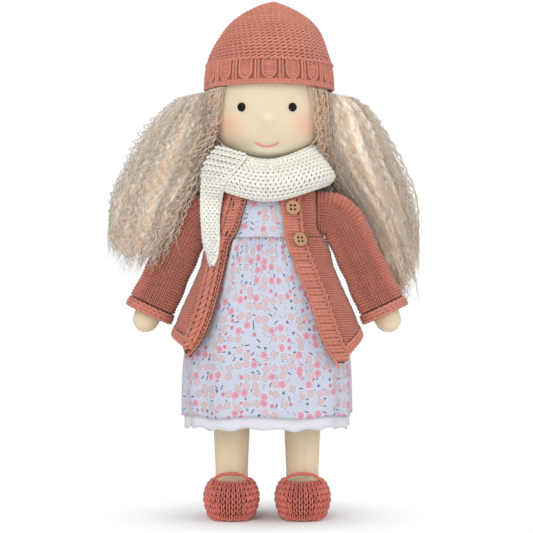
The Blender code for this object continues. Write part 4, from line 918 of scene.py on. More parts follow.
def cardigan_size(height, more=0.0):
    """Half-width and half-depth of the cardigan's outside."""
    height = np.asarray(height, float)
    wide, deep = torso_size(height, BODICE_OUT + CARDIGAN_OUT)
    skirt_wide, skirt_deep = skirt_size(np.full_like(height, WAIST_HEIGHT), CARDIGAN_OUT)
    near = np.clip(1 - (height - WAIST_HEIGHT) / (SHOULDER_HEIGHT - WAIST_HEIGHT), 0, 1)
    above = np.maximum(wide, near * skirt_wide), np.maximum(deep, near * skirt_deep)
    below = skirt_size(height, CARDIGAN_OUT)
    flare = FLARE_SLOPE * np.maximum(0, FLARE_TOP - height)
    wide, deep = [np.where(height >= WAIST_HEIGHT, up, down) for up, down in zip(above, below)]
    return wide + flare + more, deep + 0.45 * flare + more


ARMHOLE_RADIUS = 0.0183
sides = cardigan_size(np.array([SHOULDER_HEIGHT - ARMHOLE_RADIUS, SHOULDER_HEIGHT]))[0]
ELBOW = float(sides.max()) + CLOTH_GAP
print("the arm bends at x", round(ELBOW, 4))

# %% Arms
HAND_LENGTH = 0.0145
ARM_ROWS = ((0.0, 0.0120), (0.30, 0.0120), (0.55, 0.0112), (0.76, 0.0098), (0.83, 0.0101), (0.90, 0.0104),
            (0.945, 0.0096), (0.975, 0.0075), (0.992, 0.0046), (1.0, 0.0015))
arm_end = BEND_LENGTH + SLEEVE_LENGTH + HAND_LENGTH
arm_start = ARM_START - ELBOW
for name, side in SIDES:
    share = np.concatenate([np.linspace(0, 0.9, 50), 0.9 + 0.1 * np.sin(np.linspace(0.08, math.pi / 2, 18))])
    angle = np.linspace(0, math.tau, 48, endpoint=False)
    seam = 0.00045 * np.exp(-((angle - math.pi) / 0.10) ** 2)
    radius = eased(share, ARM_ROWS, 1, 0.012)[:, None] - seam[None]
    distance = (arm_start + share * (arm_end - arm_start))[:, None]
    rings = arm_place(side, *np.broadcast_arrays(angle[None], distance, radius), ELBOW)
    arm = tube(f"{name}_arm_jersey", rings)
    worn(arm, f"{name}_arm", f"{name}_arm_skin")

# %% [markdown]
# ## Sleeves and cuffs
# The sleeves are plain knitting in the round: columns of V stitches run from the shoulder to the wrist. The
# cuff is a few purl ridges, which stand out because purl pulls in and curls.

# %% Sleeves
STITCH = 0.0026
ROW = 0.00225
SLEEVE_COLUMNS = 42


def sleeve_place(side):
    start = SLEEVE_START - ELBOW + 0.0004

    def place(i, j):
        distance = start + j * ROW
        share = (distance - BEND_LENGTH) / SLEEVE_LENGTH
        radius = eased(share, ((-1.0, SLEEVE_RADIUS), (0.4, SLEEVE_RADIUS), (0.9, SLEEVE_END_RADIUS)), 1, 0.1)
        crease = 0.0006 * np.exp(-((distance - 0.6 * BEND_LENGTH) / 0.003) ** 2)
        crease = crease + 0.0004 * np.sin(distance * 260 + math.tau * i / SLEEVE_COLUMNS)
        return arm_place(side, math.tau * i / SLEEVE_COLUMNS, distance, radius - 0.0016 - crease, ELBOW)
    rows = (BEND_LENGTH + SLEEVE_LENGTH - CUFF_LENGTH - start) / ROW
    return place, rows


for name, side in SIDES:
    place, rows = sleeve_place(side)
    hand = -side
    base = layer(place, np.arange(SLEEVE_COLUMNS + 1), np.linspace(0, rows, int(rows)), -0.0010, -0.0001,
                 closed=True, hand=hand)
    i, j = stitch_grid(np.arange(SLEEVE_COLUMNS) + 0.5, np.arange(int(rows)) + 0.5)
    sleeve = piece(f"{name}_sleeve_knitting", [base, *knit(place, i, j, STITCH, hand)], terracotta)
    worn(sleeve, f"{name}_arm", f"{name}_sleeve")


# %% Cuffs
CUFF_RIDGES = 3
CUFF_COLUMNS = 26
for name, side in SIDES:
    def place(i, j):
        distance = BEND_LENGTH + SLEEVE_LENGTH - CUFF_LENGTH + j * CUFF_LENGTH / CUFF_RIDGES
        radius = eased(j / CUFF_RIDGES, ((-0.5, 0.0176), (0.0, 0.0178), (0.5, 0.0184), (1.0, 0.0182)), 1, 0.1)
        return arm_place(side, math.tau * i / CUFF_COLUMNS, distance, radius, ELBOW)

    hand = -side
    lots = [layer(place, np.arange(0, CUFF_COLUMNS + 1), np.linspace(0.12, CUFF_RIDGES - 0.1, 8), -0.0018, 0.0,
                  closed=True, hand=hand)]
    for ridge in range(CUFF_RIDGES):
        lots.append(waves(place, ridge + 0.5, 0, CUFF_COLUMNS, sway=0.16, wide=0.0014, tall=0.0013, hand=hand,
                          lift=0.0002, phase=0.3 * ridge, closed=True))
    cuff = piece(f"{name}_cuff_ridges", lots, terracotta)
    worn(cuff, f"{name}_arm", f"{name}_cuff")

# %% [markdown]
# ## Legs and shoes
# A leg is a tube of jersey with a seam down its front, bent forward at the ankle into a foot. The shoe is
# crocheted from the sole up: its rows of slanted stitches close in over the toes and leave an oval opening.
# So the shoe's cloth is a blend from the outline of the sole to the outline of the opening, which rises at
# the sides first and then leans in. A braided strap arches over the instep.

# %% Legs
LEG_SPREAD = 0.0275
LEG_HALF_WIDTH = 0.0150
ANKLE_RADIUS = 0.0125
ANKLE_HEIGHT = 0.035
LEG_SHARES = ((0.030, 1.02, 0.22), (0.079, 1.02, 0.48), (0.197, 1.0, 0.87), (0.433, 0.97, 0.95), (0.724, 0.94, 0.935))
LEG_ROWS = [(HIP_HEIGHT - 0.0011, LEG_HALF_WIDTH, 0.0010)]
LEG_ROWS += [(HIP_HEIGHT - share * (HIP_HEIGHT - ANKLE_HEIGHT), wide * LEG_HALF_WIDTH, deep * LEG_HALF_WIDTH)
             for share, wide, deep in LEG_SHARES]
LEG_ROWS += [(ANKLE_HEIGHT, ANKLE_RADIUS, ANKLE_RADIUS)]
# the foot's middle along Y and Z, its tilt from level, half-width and half-thickness
FOOT_ROWS = ((-0.0002, 0.0300, 10, 0.0126, 0.0125), (-0.0012, 0.0240, 28, 0.0128, 0.0124),
             (-0.0050, 0.0190, 50, 0.0130, 0.0118), (-0.0110, 0.0160, 70, 0.0136, 0.0110),
             (-0.0190, 0.0148, 84, 0.0138, 0.0100), (-0.0280, 0.0135, 90, 0.0126, 0.0084),
             (-0.0350, 0.0118, 90, 0.0096, 0.0062), (-0.0385, 0.0108, 90, 0.0050, 0.0032))
for name, side in SIDES:
    angle = np.linspace(0, math.tau, 48, endpoint=False)
    heights = np.linspace(HIP_HEIGHT - 0.0011, ANKLE_HEIGHT, 70)
    wide = eased(heights, LEG_ROWS, 1, 0.002)
    deep = eased(heights, LEG_ROWS, 2, 0.002)
    seam = 0.0006 * np.exp(-((angle - 1.5 * math.pi) / 0.09) ** 2)
    rings = [np.stack([side * LEG_SPREAD + (a - seam) * np.cos(angle), (b - seam) * np.sin(angle),
                       np.full(48, height)], axis=-1) for height, a, b in zip(heights, wide, deep)]
    for y, z, tilt, a, b in FOOT_ROWS:
        tilt = math.radians(tilt)
        rings.append(np.stack([side * LEG_SPREAD + (a - seam) * np.cos(angle),
                               y + (b - seam) * np.sin(angle) * math.cos(tilt),
                               z - (b - seam) * np.sin(angle) * math.sin(tilt)], axis=-1))
    leg = tube(f"{name}_leg_jersey", rings)
    worn(leg, f"{name}_leg", f"{name}_leg_skin")

# %% Shoes
SHOE_MIDDLE = -0.0133
SHOE_HALF_LENGTH = 0.0298
SHOE_HALF_WIDTH = 0.0202
MOUTH_PLACE = -0.0040
MOUTH_SIZE = (0.0142, 0.0185)
SHOE_TOPS = ((-0.0430, 0.0195), (-0.0350, 0.0235), (-0.0240, 0.0265), (-0.0100, 0.0288), (0.0040, 0.0285),
             (0.0165, 0.0250))
SHOE_COLUMNS = 32
SHOE_RIDGES = 7


def shoe_place(side):
    """The shoe's cloth. Column 0 is at the outer side, and rows run from the sole up to the opening."""
    def place(i, j):
        angle = math.tau * i / SHOE_COLUMNS
        across, along = np.cos(angle), np.sin(angle)
        toe = np.clip(-along, 0, 1)
        rise = np.clip(1 - j / SHOE_RIDGES, -0.1, 1.15) * math.pi / 2
        lean = np.clip(1 - np.cos(rise), 0, 1.2) ** 1.6
        bulge = 0.80 + 0.22 * np.sin(np.clip(1.9 * rise, 0, math.pi / 2))
        base_x = SHOE_HALF_WIDTH * across * bulge * (1 + 0.03 * toe)
        base_y = SHOE_MIDDLE + SHOE_HALF_LENGTH * along * (0.10 + 0.90 * bulge)
        x = base_x + (MOUTH_SIZE[0] * across - base_x) * lean
        y = base_y + (MOUTH_PLACE + MOUTH_SIZE[1] * along - base_y) * lean
        top = eased(y, SHOE_TOPS, 1, 0.004)
        edge = 1 - 0.16 * (np.abs(x) / SHOE_HALF_WIDTH) ** 2
        z = 0.0014 + (top * edge + 0.0012 - 0.0014) * np.sin(np.clip(rise, -0.2, math.pi / 2))
        return np.stack([side * LEG_SPREAD + side * x, y, z], axis=-1)
    return place


for name, side in SIDES:
    place = shoe_place(side)
    hand = side
    lots = [layer(place, np.arange(SHOE_COLUMNS + 1), np.linspace(0.0, SHOE_RIDGES, 17), -0.0014, -0.0004,
                  closed=True, hand=hand)]
    i, j = stitch_grid(np.arange(SHOE_COLUMNS) + 0.5, np.arange(SHOE_RIDGES) + 0.5)
    lots += knit(place, i, j, 0.0037, hand, tall=0.85)
    lots.append(waves(place, 0.0, 0, SHOE_COLUMNS, sway=0.12, wide=0.0011, tall=0.0011, lift=0.0, hand=hand,
                      closed=True))
    lots.append(waves(place, SHOE_RIDGES - 0.1, 0, SHOE_COLUMNS, wave=2.0, sway=0.10, wide=0.0011, tall=0.0010,
                      lift=0.0, hand=hand, closed=True))
    shoe = piece(f"{name}_shoe_crochet", lots, shoe_wool)
    worn(shoe, f"{name}_leg", f"{name}_shoe_upper")
repaint(sole_wool, "left_shoe_sole", "right_shoe_sole")

# %% Straps
STRAP_DEPTH = -0.0185
STRAP_HALF_SPAN = 0.0172
STRAP_FOOT = 0.0215
STRAP_TOP = 0.0345
for name, side in SIDES:
    share = np.linspace(-1.08, 1.08, 61)
    arch = np.sqrt(np.clip(1 - np.abs(share) ** 2.4, 0, 1))
    height = STRAP_FOOT + (STRAP_TOP - STRAP_FOOT) * arch - 0.004 * np.maximum(np.abs(share) - 1, 0)
    middle = np.stack([side * LEG_SPREAD + STRAP_HALF_SPAN * share, STRAP_DEPTH + 0 * share, height], axis=-1)
    along = np.gradient(middle, axis=0)
    out = np.cross(along, np.array([0.0, 1.0, 0.0]))
    out *= np.sign(out[:, 2:] + 1e-9)
    out /= np.linalg.norm(out, axis=-1, keepdims=True)
    lots = []
    run = np.cumsum(np.linalg.norm(along, axis=-1))
    for turned in (0.0, math.tau / 3, 4 * math.pi / 3):
        turn = math.tau * run / 0.0100 + turned
        aside = np.array([0.0, 1.0, 0.0]) * (0.0011 * np.sin(turn))[:, None]
        path = middle + aside + out * (0.0005 * np.sin(2 * turn))[:, None]
        taper = np.clip(1.15 - np.abs(share), 0.3, 1.1) ** 0.3
        lots.append(strands(path[None], out[None], 0.00105 * taper, 0.00105 * taper, sides=6, tone=uneven(1, 0.05)))
    strap = piece(f"{name}_strap_braid", lots, shoe_wool)
    worn(strap, f"{name}_leg", f"{name}_shoe_strap")

# %% [markdown]
# ## Dress and underskirt
# The bodice is cut to the body. The skirt is one long strip of cloth, gathered into the waist seam, so it
# starts in many small pleats and opens into a few soft folds. A cylinder takes this shape well: it is cut
# into rows and columns, each point is moved to its fold, and the cloth then gets its thickness. The print's UV
# follows the flat cloth, so the flowers crowd together at the gathers as they do on the real thing.

# %% Dress sizes
SKIRT_CLOTH = (0.42, 0.145)
FOLDS = 12
GATHERS = 43
fold_phase = rng.uniform(0, math.tau, 6)


def skirt_place(angle, share, inside=0.0, longer=0.0):
    """A point of the gathered skirt, with share running from 0 at the waist to 1 at the hem."""
    height = WAIST_HEIGHT - share * (SKIRT_LENGTH + longer)
    wide, deep = skirt_size(height, -inside)
    fold = 0.0011 * np.sin(FOLDS * angle + 1.2 * np.sin(2 * angle + fold_phase[0])) * np.clip(share * 1.6, 0, 1)
    fold += 0.0006 * np.sin(5 * angle + fold_phase[1]) * share
    gather = np.cos(GATHERS * angle + 2.0 * np.sin(5 * angle + fold_phase[2]))
    reach = 0.17 + 0.08 * np.sin(9 * angle + fold_phase[5])
    across, along = rounded(angle, BODY_POWER)
    open_front = np.where(along < 0, np.exp(-(((wide * across + 0.007) / 0.021) ** 4)), 0.0)
    pleat = (0.0014 + 0.0014 * gather) * open_front + 0.0003 * gather
    pleat *= np.exp(-((share / reach) ** 1.5)) * np.clip(share / 0.012, 0.10, 1)
    grow = fold + pleat - 0.0004
    hem = 0.0008 * np.sin(7 * angle + fold_phase[3]) * share ** 3
    return np.stack([(wide + grow) * across, (deep + grow) * along, height + hem], axis=-1)


def fit_cloth(made, place, cloth, finish, thickness):
    """Moves a cylinder's rows and columns onto cloth, with UVs in metres, and gives it a thickness."""
    mesh = made.data
    points = np.array([vert.co for vert in mesh.vertices])
    angle = np.arctan2(points[:, 1], points[:, 0])
    share = 1 - (points[:, 2] - points[:, 2].min()) / np.ptp(points[:, 2])
    moved = place(angle, share)
    round_it = np.linspace(-math.pi, math.pi, 721)
    steps = np.linalg.norm(np.diff(place(round_it, np.full(721, 0.9)), axis=0), axis=1)
    turns = np.interp(angle, round_it, np.concatenate([[0.0], np.cumsum(steps)]) / steps.sum())
    for vert, spot in zip(mesh.vertices, moved):
        vert.co = spot
    layer_uv = mesh.uv_layers[0] if mesh.uv_layers else mesh.uv_layers.new(name="UVMap")
    layer_uv.name = "UVMap"
    for face in mesh.polygons:
        corner_turns = [turns[mesh.loops[k].vertex_index] for k in face.loop_indices]
        wrap = max(corner_turns) - min(corner_turns) > 0.5
        for k, turn in zip(face.loop_indices, corner_turns):
            around = turn + 1 if wrap and turn < 0.5 else turn
            layer_uv.data[k].uv = (around * cloth[0], share[mesh.loops[k].vertex_index] * cloth[1])
    mesh.shade_smooth()
    mesh.materials.append(finish)
    wall = made.modifiers.new("thickness", "SOLIDIFY")
    wall.thickness = thickness
    wall.offset = -1.0
    only(made)
    bpy.ops.object.modifier_apply(modifier="thickness")


def open_tube(name, columns, rows):
    """An upright cylinder without caps, cut into even rows."""
    bpy.ops.object.select_all(action="DESELECT")
    bpy.ops.mesh.primitive_grid_add(x_subdivisions=columns, y_subdivisions=rows, size=2.0)
    made = bpy.context.object
    made.name = name
    for vert in made.data.vertices:
        angle = math.pi * vert.co.x
        vert.co = (math.cos(angle), math.sin(angle), vert.co.y)
    return welded(made, 1e-5)


# %% Dress skirt
skirt = open_tube("flowered_skirt", 480, 50)
fit_cloth(skirt, skirt_place, SKIRT_CLOTH, flowered, 0.0009)
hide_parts("dress_skirt")
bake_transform(skirt)

# %% Underskirt
UNDERSKIRT_SHOWS = 0.0092
UNDERSKIRT_CLOTH = (0.38, 0.15)


def underskirt_place(angle, share):
    points = skirt_place(angle, share, inside=0.0024, longer=UNDERSKIRT_SHOWS)
    points[..., 2] += 0.0009 * np.sin(19 * angle + fold_phase[4]) * share ** 4
    return points


underskirt = open_tube("white_underskirt", 300, 50)
fit_cloth(underskirt, underskirt_place, UNDERSKIRT_CLOTH, white_cotton, 0.0006)
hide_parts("underskirt")
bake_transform(underskirt)

# %% Bodice
BODICE_CLOTH = (0.235, 0.050)


def bodice_place(angle, share):
    height = WAIST_HEIGHT + 0.0001 + (1 - share) * (NECKLINE - WAIST_HEIGHT - 0.0011)
    wide, deep = torso_size(height, BODICE_OUT)
    across, along = rounded(angle, BODY_POWER)
    return np.stack([wide * across, deep * along, height], axis=-1)


bodice = open_tube("flowered_bodice", 160, 30)
fit_cloth(bodice, bodice_place, BODICE_CLOTH, flowered, 0.0009)
bpy.ops.object.mode_set(mode="EDIT")
bpy.ops.mesh.select_all(action="DESELECT")
bpy.ops.object.mode_set(mode="OBJECT")
for vert in bodice.data.vertices:
    near_arm = math.hypot(vert.co.y, vert.co.z - SHOULDER_HEIGHT) < 0.0150
    vert.select = near_arm and abs(vert.co.x) > 0.02
bpy.ops.object.mode_set(mode="EDIT")
bpy.ops.mesh.delete(type="VERT")
bpy.ops.mesh.select_all(action="DESELECT")
bpy.ops.mesh.select_non_manifold()
bpy.ops.mesh.bridge_edge_loops()
bpy.ops.object.mode_set(mode="OBJECT")
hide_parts("dress_bodice")
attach(bodice, "torso")

# %% [markdown]
# ## Cardigan
# The cardigan is knitted in flat pieces: a back, two fronts and a band along each front edge. It flares from
# the chest to the hem, and its columns of stitches run parallel to the front edges, so the side seams cut them
# off at a slant. That is why places on it are given as a distance from the middle of the front or of the back.
# Two tables turn that distance into an angle round the body, and back again.

# %% Distance round the cardigan
CARDIGAN_LOW = 0.108
LONGEST = 0.125
SIDE_FULLNESS = 0.0032
SIDE_FULL_HEIGHT = 0.2090
levels = np.linspace(CARDIGAN_LOW, NECKLINE + 0.002, 160)
quarter_turn = np.linspace(0, math.pi / 2, 181)
wide, deep = cardigan_size(levels)
along, across = rounded(quarter_turn, BODY_POWER)
steps = np.hypot(np.diff(wide[:, None] * across[None], axis=1), np.diff(deep[:, None] * along[None], axis=1))
LENGTHS = np.concatenate([np.zeros((len(levels), 1)), np.cumsum(steps, axis=1)], axis=1)
spread = np.linspace(0, LONGEST, 251)
ANGLES = np.array([np.interp(spread, row, quarter_turn) for row in LENGTHS])


def level_share(height):
    return (height - levels[0]) / (levels[-1] - levels[0])


def side_length(height):
    """Distance from the middle of the front to the side seam."""
    return np.interp(height, levels, LENGTHS[:, -1])


def reach_of(x, height):
    """Distance round the cardigan from its middle to x."""
    wide = cardigan_size(height)[0]
    angle = np.arcsin(np.clip(x / wide, 0, 1) ** (BODY_POWER / 2))
    return look_up(LENGTHS, angle / (math.pi / 2), level_share(height))


def cardigan_spot(side, face, distance, height, out=0.0):
    """A point of the cardigan: side is 1 at the doll's left, face is -1 at the front and 1 at the back."""
    angle = look_up(ANGLES, distance / LONGEST, level_share(height))
    wide, deep = cardigan_size(height, out)
    along, across = rounded(angle, BODY_POWER)
    full = SIDE_FULLNESS * np.clip(across, 0, 1) ** 6 * np.exp(-((height - SIDE_FULL_HEIGHT) / 0.014) ** 2)
    return np.stack([side * (wide * across + full), face * deep * along, height], axis=-1)


# %% Rows down the cardigan
slope = np.hypot(np.diff(levels), np.diff(cardigan_size(levels)[0]))
run_down = np.concatenate([[0.0], np.cumsum(slope[::-1])])
levels_down = levels[::-1]
TOP_RUN = float(np.interp(-NECKLINE, -levels_down, run_down))


def height_at(run):
    """Height after a run down the cardigan from its neckline, in millimetres."""
    return np.interp(np.asarray(run) / 1000 + TOP_RUN, run_down, levels_down)


def run_at(height):
    return 1000 * (np.interp(-np.asarray(height), -levels_down, run_down) - TOP_RUN)


UNDER = -0.0017
SIDE_HEM = 0.1414
HEM_BORDER = 6.6
BAND_WIDTH = 0.0120
EDGES = {
    "left": ((0.2600, 0.0088), (0.2585, 0.0094), (0.2425, 0.0110), (0.2150, 0.0142), (0.2035, 0.0183),
             (0.1880, 0.0242), (0.1693, 0.0321), (0.1466, 0.0390), (0.1329, 0.0445), (0.1166, 0.0546)),
    "right": ((0.2600, 0.0130), (0.2585, 0.0138), (0.2439, 0.0160), (0.2338, 0.0194), (0.2227, 0.0220),
              (0.2126, 0.0286), (0.1957, 0.0320), (0.1636, 0.0397), (0.1509, 0.0439), (0.1356, 0.0506),
              (0.1250, 0.0600)),
}
CORNERS = {"left": 0.1166, "right": 0.1250}


def edge_at(name, height, inset=0.0):
    """Distance from the middle of the front to the band's edge, or further in."""
    return reach_of(eased(height, EDGES[name], 1, 0.004) + inset, height)


def clear_of_arm(points, radius=ARMHOLE_RADIUS + 0.0006):
    """True where a point isn't over the armhole, or is nearer the middle than the sleeve."""
    beside = np.hypot(points[..., 1], points[..., 2] - SHOULDER_HEIGHT) > radius
    return beside | (np.abs(points[..., 0]) < 0.0384)


def hem_at(name, across):
    """Height of a front's hem, with across running from 0 at the side seam to 1 at the band."""
    return SIDE_HEM + (CORNERS[name] + 0.008 - SIDE_HEM) * np.clip(across, 0, 1) ** 1.5


# %% Fronts
FRONT_STITCH = 2.3
FRONT_ROW = 1.95
CABLE_WIDTH = 4.6
for name, side in SIDES:
    def place(i, j):
        height = height_at(j)
        start = edge_at(name, height, BAND_WIDTH)
        return cardigan_spot(side, -1, start + 0.0002 + i / 1000, height, UNDER)

    def inside(i, j, border=0.0):
        height = height_at(j)
        start = edge_at(name, height, BAND_WIDTH)
        room = side_length(height) - start
        across = 1 - (i / 1000) / np.maximum(room, 1e-6)
        fits = (i / 1000 < room - 0.0009) & (height > hem_at(name, across) + border / 1000)
        return fits & clear_of_arm(place(i, j)) & (j > 0.2)

    hand = side
    lots = [layer(place, np.arange(0, 76, 1.0), np.arange(0, 150, 1.0), -0.0008, 0.0004, keep=inside, hand=hand)]
    i, j = stitch_grid(CABLE_WIDTH + FRONT_STITCH * (np.arange(30) + 0.5), FRONT_ROW * (np.arange(72) + 0.5))
    kept = inside(i + 0.5 * FRONT_STITCH, j, HEM_BORDER) & inside(i - 0.5 * FRONT_STITCH, j + 1.0, HEM_BORDER)
    lots += knit(place, i[kept], j[kept], FRONT_STITCH / 1000, hand, size=(FRONT_STITCH, FRONT_ROW))
    j = np.arange(1.0, run_at(hem_at(name, 1.0)) - HEM_BORDER, 0.6)
    lots += cable(place, np.full_like(j, CABLE_WIDTH / 2), j, 0.0010, hand=hand, turns=0.0100, radius=0.00115)
    for ridge in range(3):
        i = np.arange(0.3, 60, 0.4)
        j = np.full_like(i, 100.0)
        for _ in range(4):
            room = 1000 * (side_length(height_at(j)) - edge_at(name, height_at(j), BAND_WIDTH))
            j = run_at(hem_at(name, 1 - i / room)) - 1.1 - 2.2 * ridge
        shown = i < room - 1.2
        i, j = i[shown], j[shown] + 0.35 * np.sin(math.tau * i[shown] / 3.2 + 2.0 * ridge)
        lots.append(laid(place, i, j, 0.0007, 0.00125, 0.0011, hand=hand))
    front = piece(f"cardigan_{name}_knitting", lots, terracotta)
    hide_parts(f"cardigan_{name}_front")
    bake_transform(front)

# %% Left band
BAND_RIDGE = 5.8
BAND_COLUMN = 2.4


def band_place(name, side):
    def place(i, j):
        height = height_at(j)
        start, end = edge_at(name, height), edge_at(name, height, BAND_WIDTH)
        crown = 0.0005 * np.sin(np.clip(i / 12, 0, 1) * math.pi)
        return cardigan_spot(side, -1, start + (end - start) * i / 12, height, UNDER + 0.0004 + crown)
    return place


def band_end(name, i):
    """The run down to the end of a band, which slants up a little towards the body."""
    return run_at(CORNERS[name] + 0.008 * i / 12)


def band_inside(name):
    def inside(i, j):
        return (j < band_end(name, i)) & (j > 0.2)
    return inside


place = band_place("left", 1)
lots = [layer(place, np.linspace(0.0, 11.9, 11), np.arange(0, 150, 1.0), -0.0010, 0.0004, keep=band_inside("left"))]
first_ridge = run_at(0.2060)
for j in np.arange(1.3, first_ridge - 1.0, 2.3):
    lots.append(waves(place, j, 0.6, 11.4, wave=BAND_COLUMN, sway=0.45, wide=0.00115, tall=0.0012, lift=0.0004,
                      phase=rng.uniform(0, 0.3)))
ridge = first_ridge
while ridge < band_end("left", 6.0) - 2.0:
    for offset in (-1.25, 1.25):
        lots.append(waves(place, ridge + offset, 0.5, 11.5, wave=BAND_COLUMN, sway=0.55, wide=0.0012, tall=0.0013,
                          lift=0.0012, phase=0.5 if offset > 0 else 0.0))
    lots.append(waves(place, ridge + 0.5 * BAND_RIDGE, 0.6, 11.4, wave=BAND_COLUMN, sway=0.3, wide=0.0008, tall=0.0008,
                      lift=0.0001))
    ridge += BAND_RIDGE
j = np.arange(1.2, band_end("left", 0.0) - 0.4, 0.5)
lots += cable(place, np.full_like(j, 0.9), j, 0.0005, turns=0.0060, radius=0.0008, lift=0.0003)
band = piece("left_band_knitting", lots, terracotta)
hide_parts("left_front_band")
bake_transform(band)

# %% Right band
BUTTONHOLES = ((0.0260, 0.0330), (0.0310, 0.0555))
HOLE_SIZE = (1.1, 3.2)
place = band_place("right", -1)
hand = -1
holes = []
for x, drop in BUTTONHOLES:
    height = np.array(NECK_TOP - drop)
    start, end = edge_at("right", height), edge_at("right", height, BAND_WIDTH)
    holes.append((float(12 * (reach_of(x, height) - start) / (end - start)), float(run_at(height))))


def clear_of_holes(i, j, room=1.0):
    clear = np.ones_like(i, bool)
    for hole_i, hole_j in holes:
        slant = i - hole_i + 0.25 * (j - hole_j)
        clear &= (slant / (HOLE_SIZE[0] * room)) ** 2 + ((j - hole_j) / (HOLE_SIZE[1] * room)) ** 2 > 1
    return clear


lots = [layer(place, np.linspace(0.0, 11.9, 21), np.arange(0, 150, 0.6), -0.0010, 0.0004, hand=hand,
              keep=lambda i, j: band_inside("right")(i, j) & clear_of_holes(i, j))]
first_ridge = run_at(0.2050)
for j in np.arange(1.3, first_ridge - 1.0, 2.3):
    i = np.arange(3.4, 11.4, 0.3)
    rows = j + 0.45 * np.sin(math.tau * i / BAND_COLUMN)
    clear = clear_of_holes(i, rows, 1.35)
    for part in np.split(np.arange(len(i)), np.flatnonzero(np.diff(clear.astype(int))) + 1):
        if len(part) > 3 and clear[part].all():
            lots.append(laid(place, i[part], rows[part], 0.0004, 0.00115, 0.0012, hand=hand))
for hole_i, hole_j in holes:
    turn = np.linspace(0, math.tau, 28, endpoint=False)
    j = hole_j + 1.1 * HOLE_SIZE[1] * np.sin(turn)
    i = hole_i + 1.25 * HOLE_SIZE[0] * np.cos(turn) - 0.25 * (j - hole_j)
    lots.append(laid(place, i, j, 0.0004, 0.0007, 0.0008, hand=hand, sides=6, closed=True))
j = np.arange(first_ridge, band_end("right", 8.0) - 1.2, 0.5)
lots += cable(place, np.full_like(j, 8.6), j, 0.0015, hand=hand, turns=0.0110, radius=0.0015, lift=0.0009)
lots += cable(place, np.full_like(j, 4.9), j, 0.0009, hand=hand, turns=0.0100, radius=0.0011, lift=0.0005)
rows = np.arange(2.0, band_end("right", 1.0) - 1.5, 3.4)
lots += knit(place, np.full_like(rows, 1.7), rows, 0.0036, hand, size=(3.3, 3.4), tall=0.8)
band = piece("right_band_knitting", lots, terracotta)
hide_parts("right_front_band")
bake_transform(band)

# %% Back
def back_place(i, j):
    height = height_at(j)
    side = np.where(i >= 0, -1.0, 1.0)
    return cardigan_spot(side, 1, np.abs(i) / 1000, height, UNDER)


def back_inside(i, j, border=0.0):
    height = height_at(j)
    fits = (np.abs(i) / 1000 < side_length(height) - 0.0009) & (height > SIDE_HEM + border / 1000)
    return fits & clear_of_arm(back_place(i, j)) & (j > 0.2)


BACK_STITCH = 3.1
BACK_ROW = 2.6
lots = [layer(back_place, np.arange(-100, 101, 1.6), np.arange(0, 130, 1.4), -0.0008, 0.0004, keep=back_inside)]
i, j = stitch_grid(BACK_STITCH * (np.arange(-32, 32) + 0.5), BACK_ROW * (np.arange(50) + 0.5))
kept = back_inside(np.abs(i) + 0.5 * BACK_STITCH, j, HEM_BORDER)
lots += knit(back_place, i[kept], j[kept], BACK_STITCH / 1000, 1.0, size=(BACK_STITCH, BACK_ROW), tall=0.65)
hem_run = run_at(SIDE_HEM)
for ridge in range(3):
    end = 1000 * float(side_length(np.array(SIDE_HEM))) - 1.5
    lots.append(waves(back_place, hem_run - 1.1 - 2.2 * ridge, -end, end, wave=3.2, sway=0.35, wide=0.00125,
                      tall=0.0011, lift=0.0007, phase=0.3 * ridge))
back = piece("cardigan_back_knitting", lots, terracotta)
worn(back, "torso", "cardigan_back")

# %% [markdown]
# ## Buttons
# Each button is turned from a disc of light wood: its top is inset four times to make the rim, a groove, an
# inner ring and a dish, and four holes are cut through it. The dark sewing thread fills the holes. The second
# button is a copy of the first, moved to the other place.

# %% Buttons
BUTTON_RADIUS = 0.0065
BUTTON_THICKNESS = 0.0028
HOLE_RADIUS = 0.00100
HOLE_SPREAD = 0.00155
INSETS = ((0.00065, 0.0), (0.00040, -0.00080), (0.00045, 0.00055), (0.00060, -0.00075))


def apply_modifier(made, kind, **settings):
    change = made.modifiers.new("change", kind)
    for name, value in settings.items():
        setattr(change, name, value)
    bpy.context.view_layer.objects.active = made
    bpy.ops.object.modifier_apply(modifier="change")


def four_pegs(name, radius, low, high):
    """Four pegs at the holes of a button that lies flat at the origin."""
    bpy.ops.object.select_all(action="DESELECT")
    pegs = []
    for x in (-HOLE_SPREAD, HOLE_SPREAD):
        for y in (-HOLE_SPREAD, HOLE_SPREAD):
            bpy.ops.mesh.primitive_cylinder_add(vertices=20, radius=radius, depth=high - low,
                                                location=(x, y, (low + high) / 2))
            pegs.append(bpy.context.object)
    for peg in pegs:
        peg.select_set(True)
    bpy.ops.object.join()
    joined = bpy.context.object
    bpy.ops.object.transform_apply(location=True, rotation=True, scale=True)
    joined.name = name
    return joined


def turned_button():
    bpy.ops.object.select_all(action="DESELECT")
    bpy.ops.mesh.primitive_cylinder_add(vertices=56, radius=BUTTON_RADIUS, depth=BUTTON_THICKNESS,
                                        location=(0, 0, BUTTON_THICKNESS / 2))
    disc = bpy.context.object
    bpy.ops.object.transform_apply(location=True, rotation=True, scale=True)
    for polygon in disc.data.polygons:
        polygon.select = polygon.normal.z > 0.9
    bpy.ops.object.mode_set(mode="EDIT")
    bpy.ops.mesh.select_mode(type="FACE")
    for thickness, depth in INSETS:
        bpy.ops.mesh.inset(thickness=thickness, depth=depth)
    bpy.ops.object.mode_set(mode="OBJECT")
    apply_modifier(disc, "BEVEL", width=0.00022, segments=3, limit_method="ANGLE", angle_limit=math.radians(25))
    drill = four_pegs("drill", HOLE_RADIUS, -0.001, BUTTON_THICKNESS + 0.001)
    apply_modifier(disc, "BOOLEAN", operation="DIFFERENCE", object=drill)
    bpy.data.objects.remove(drill)
    return disc


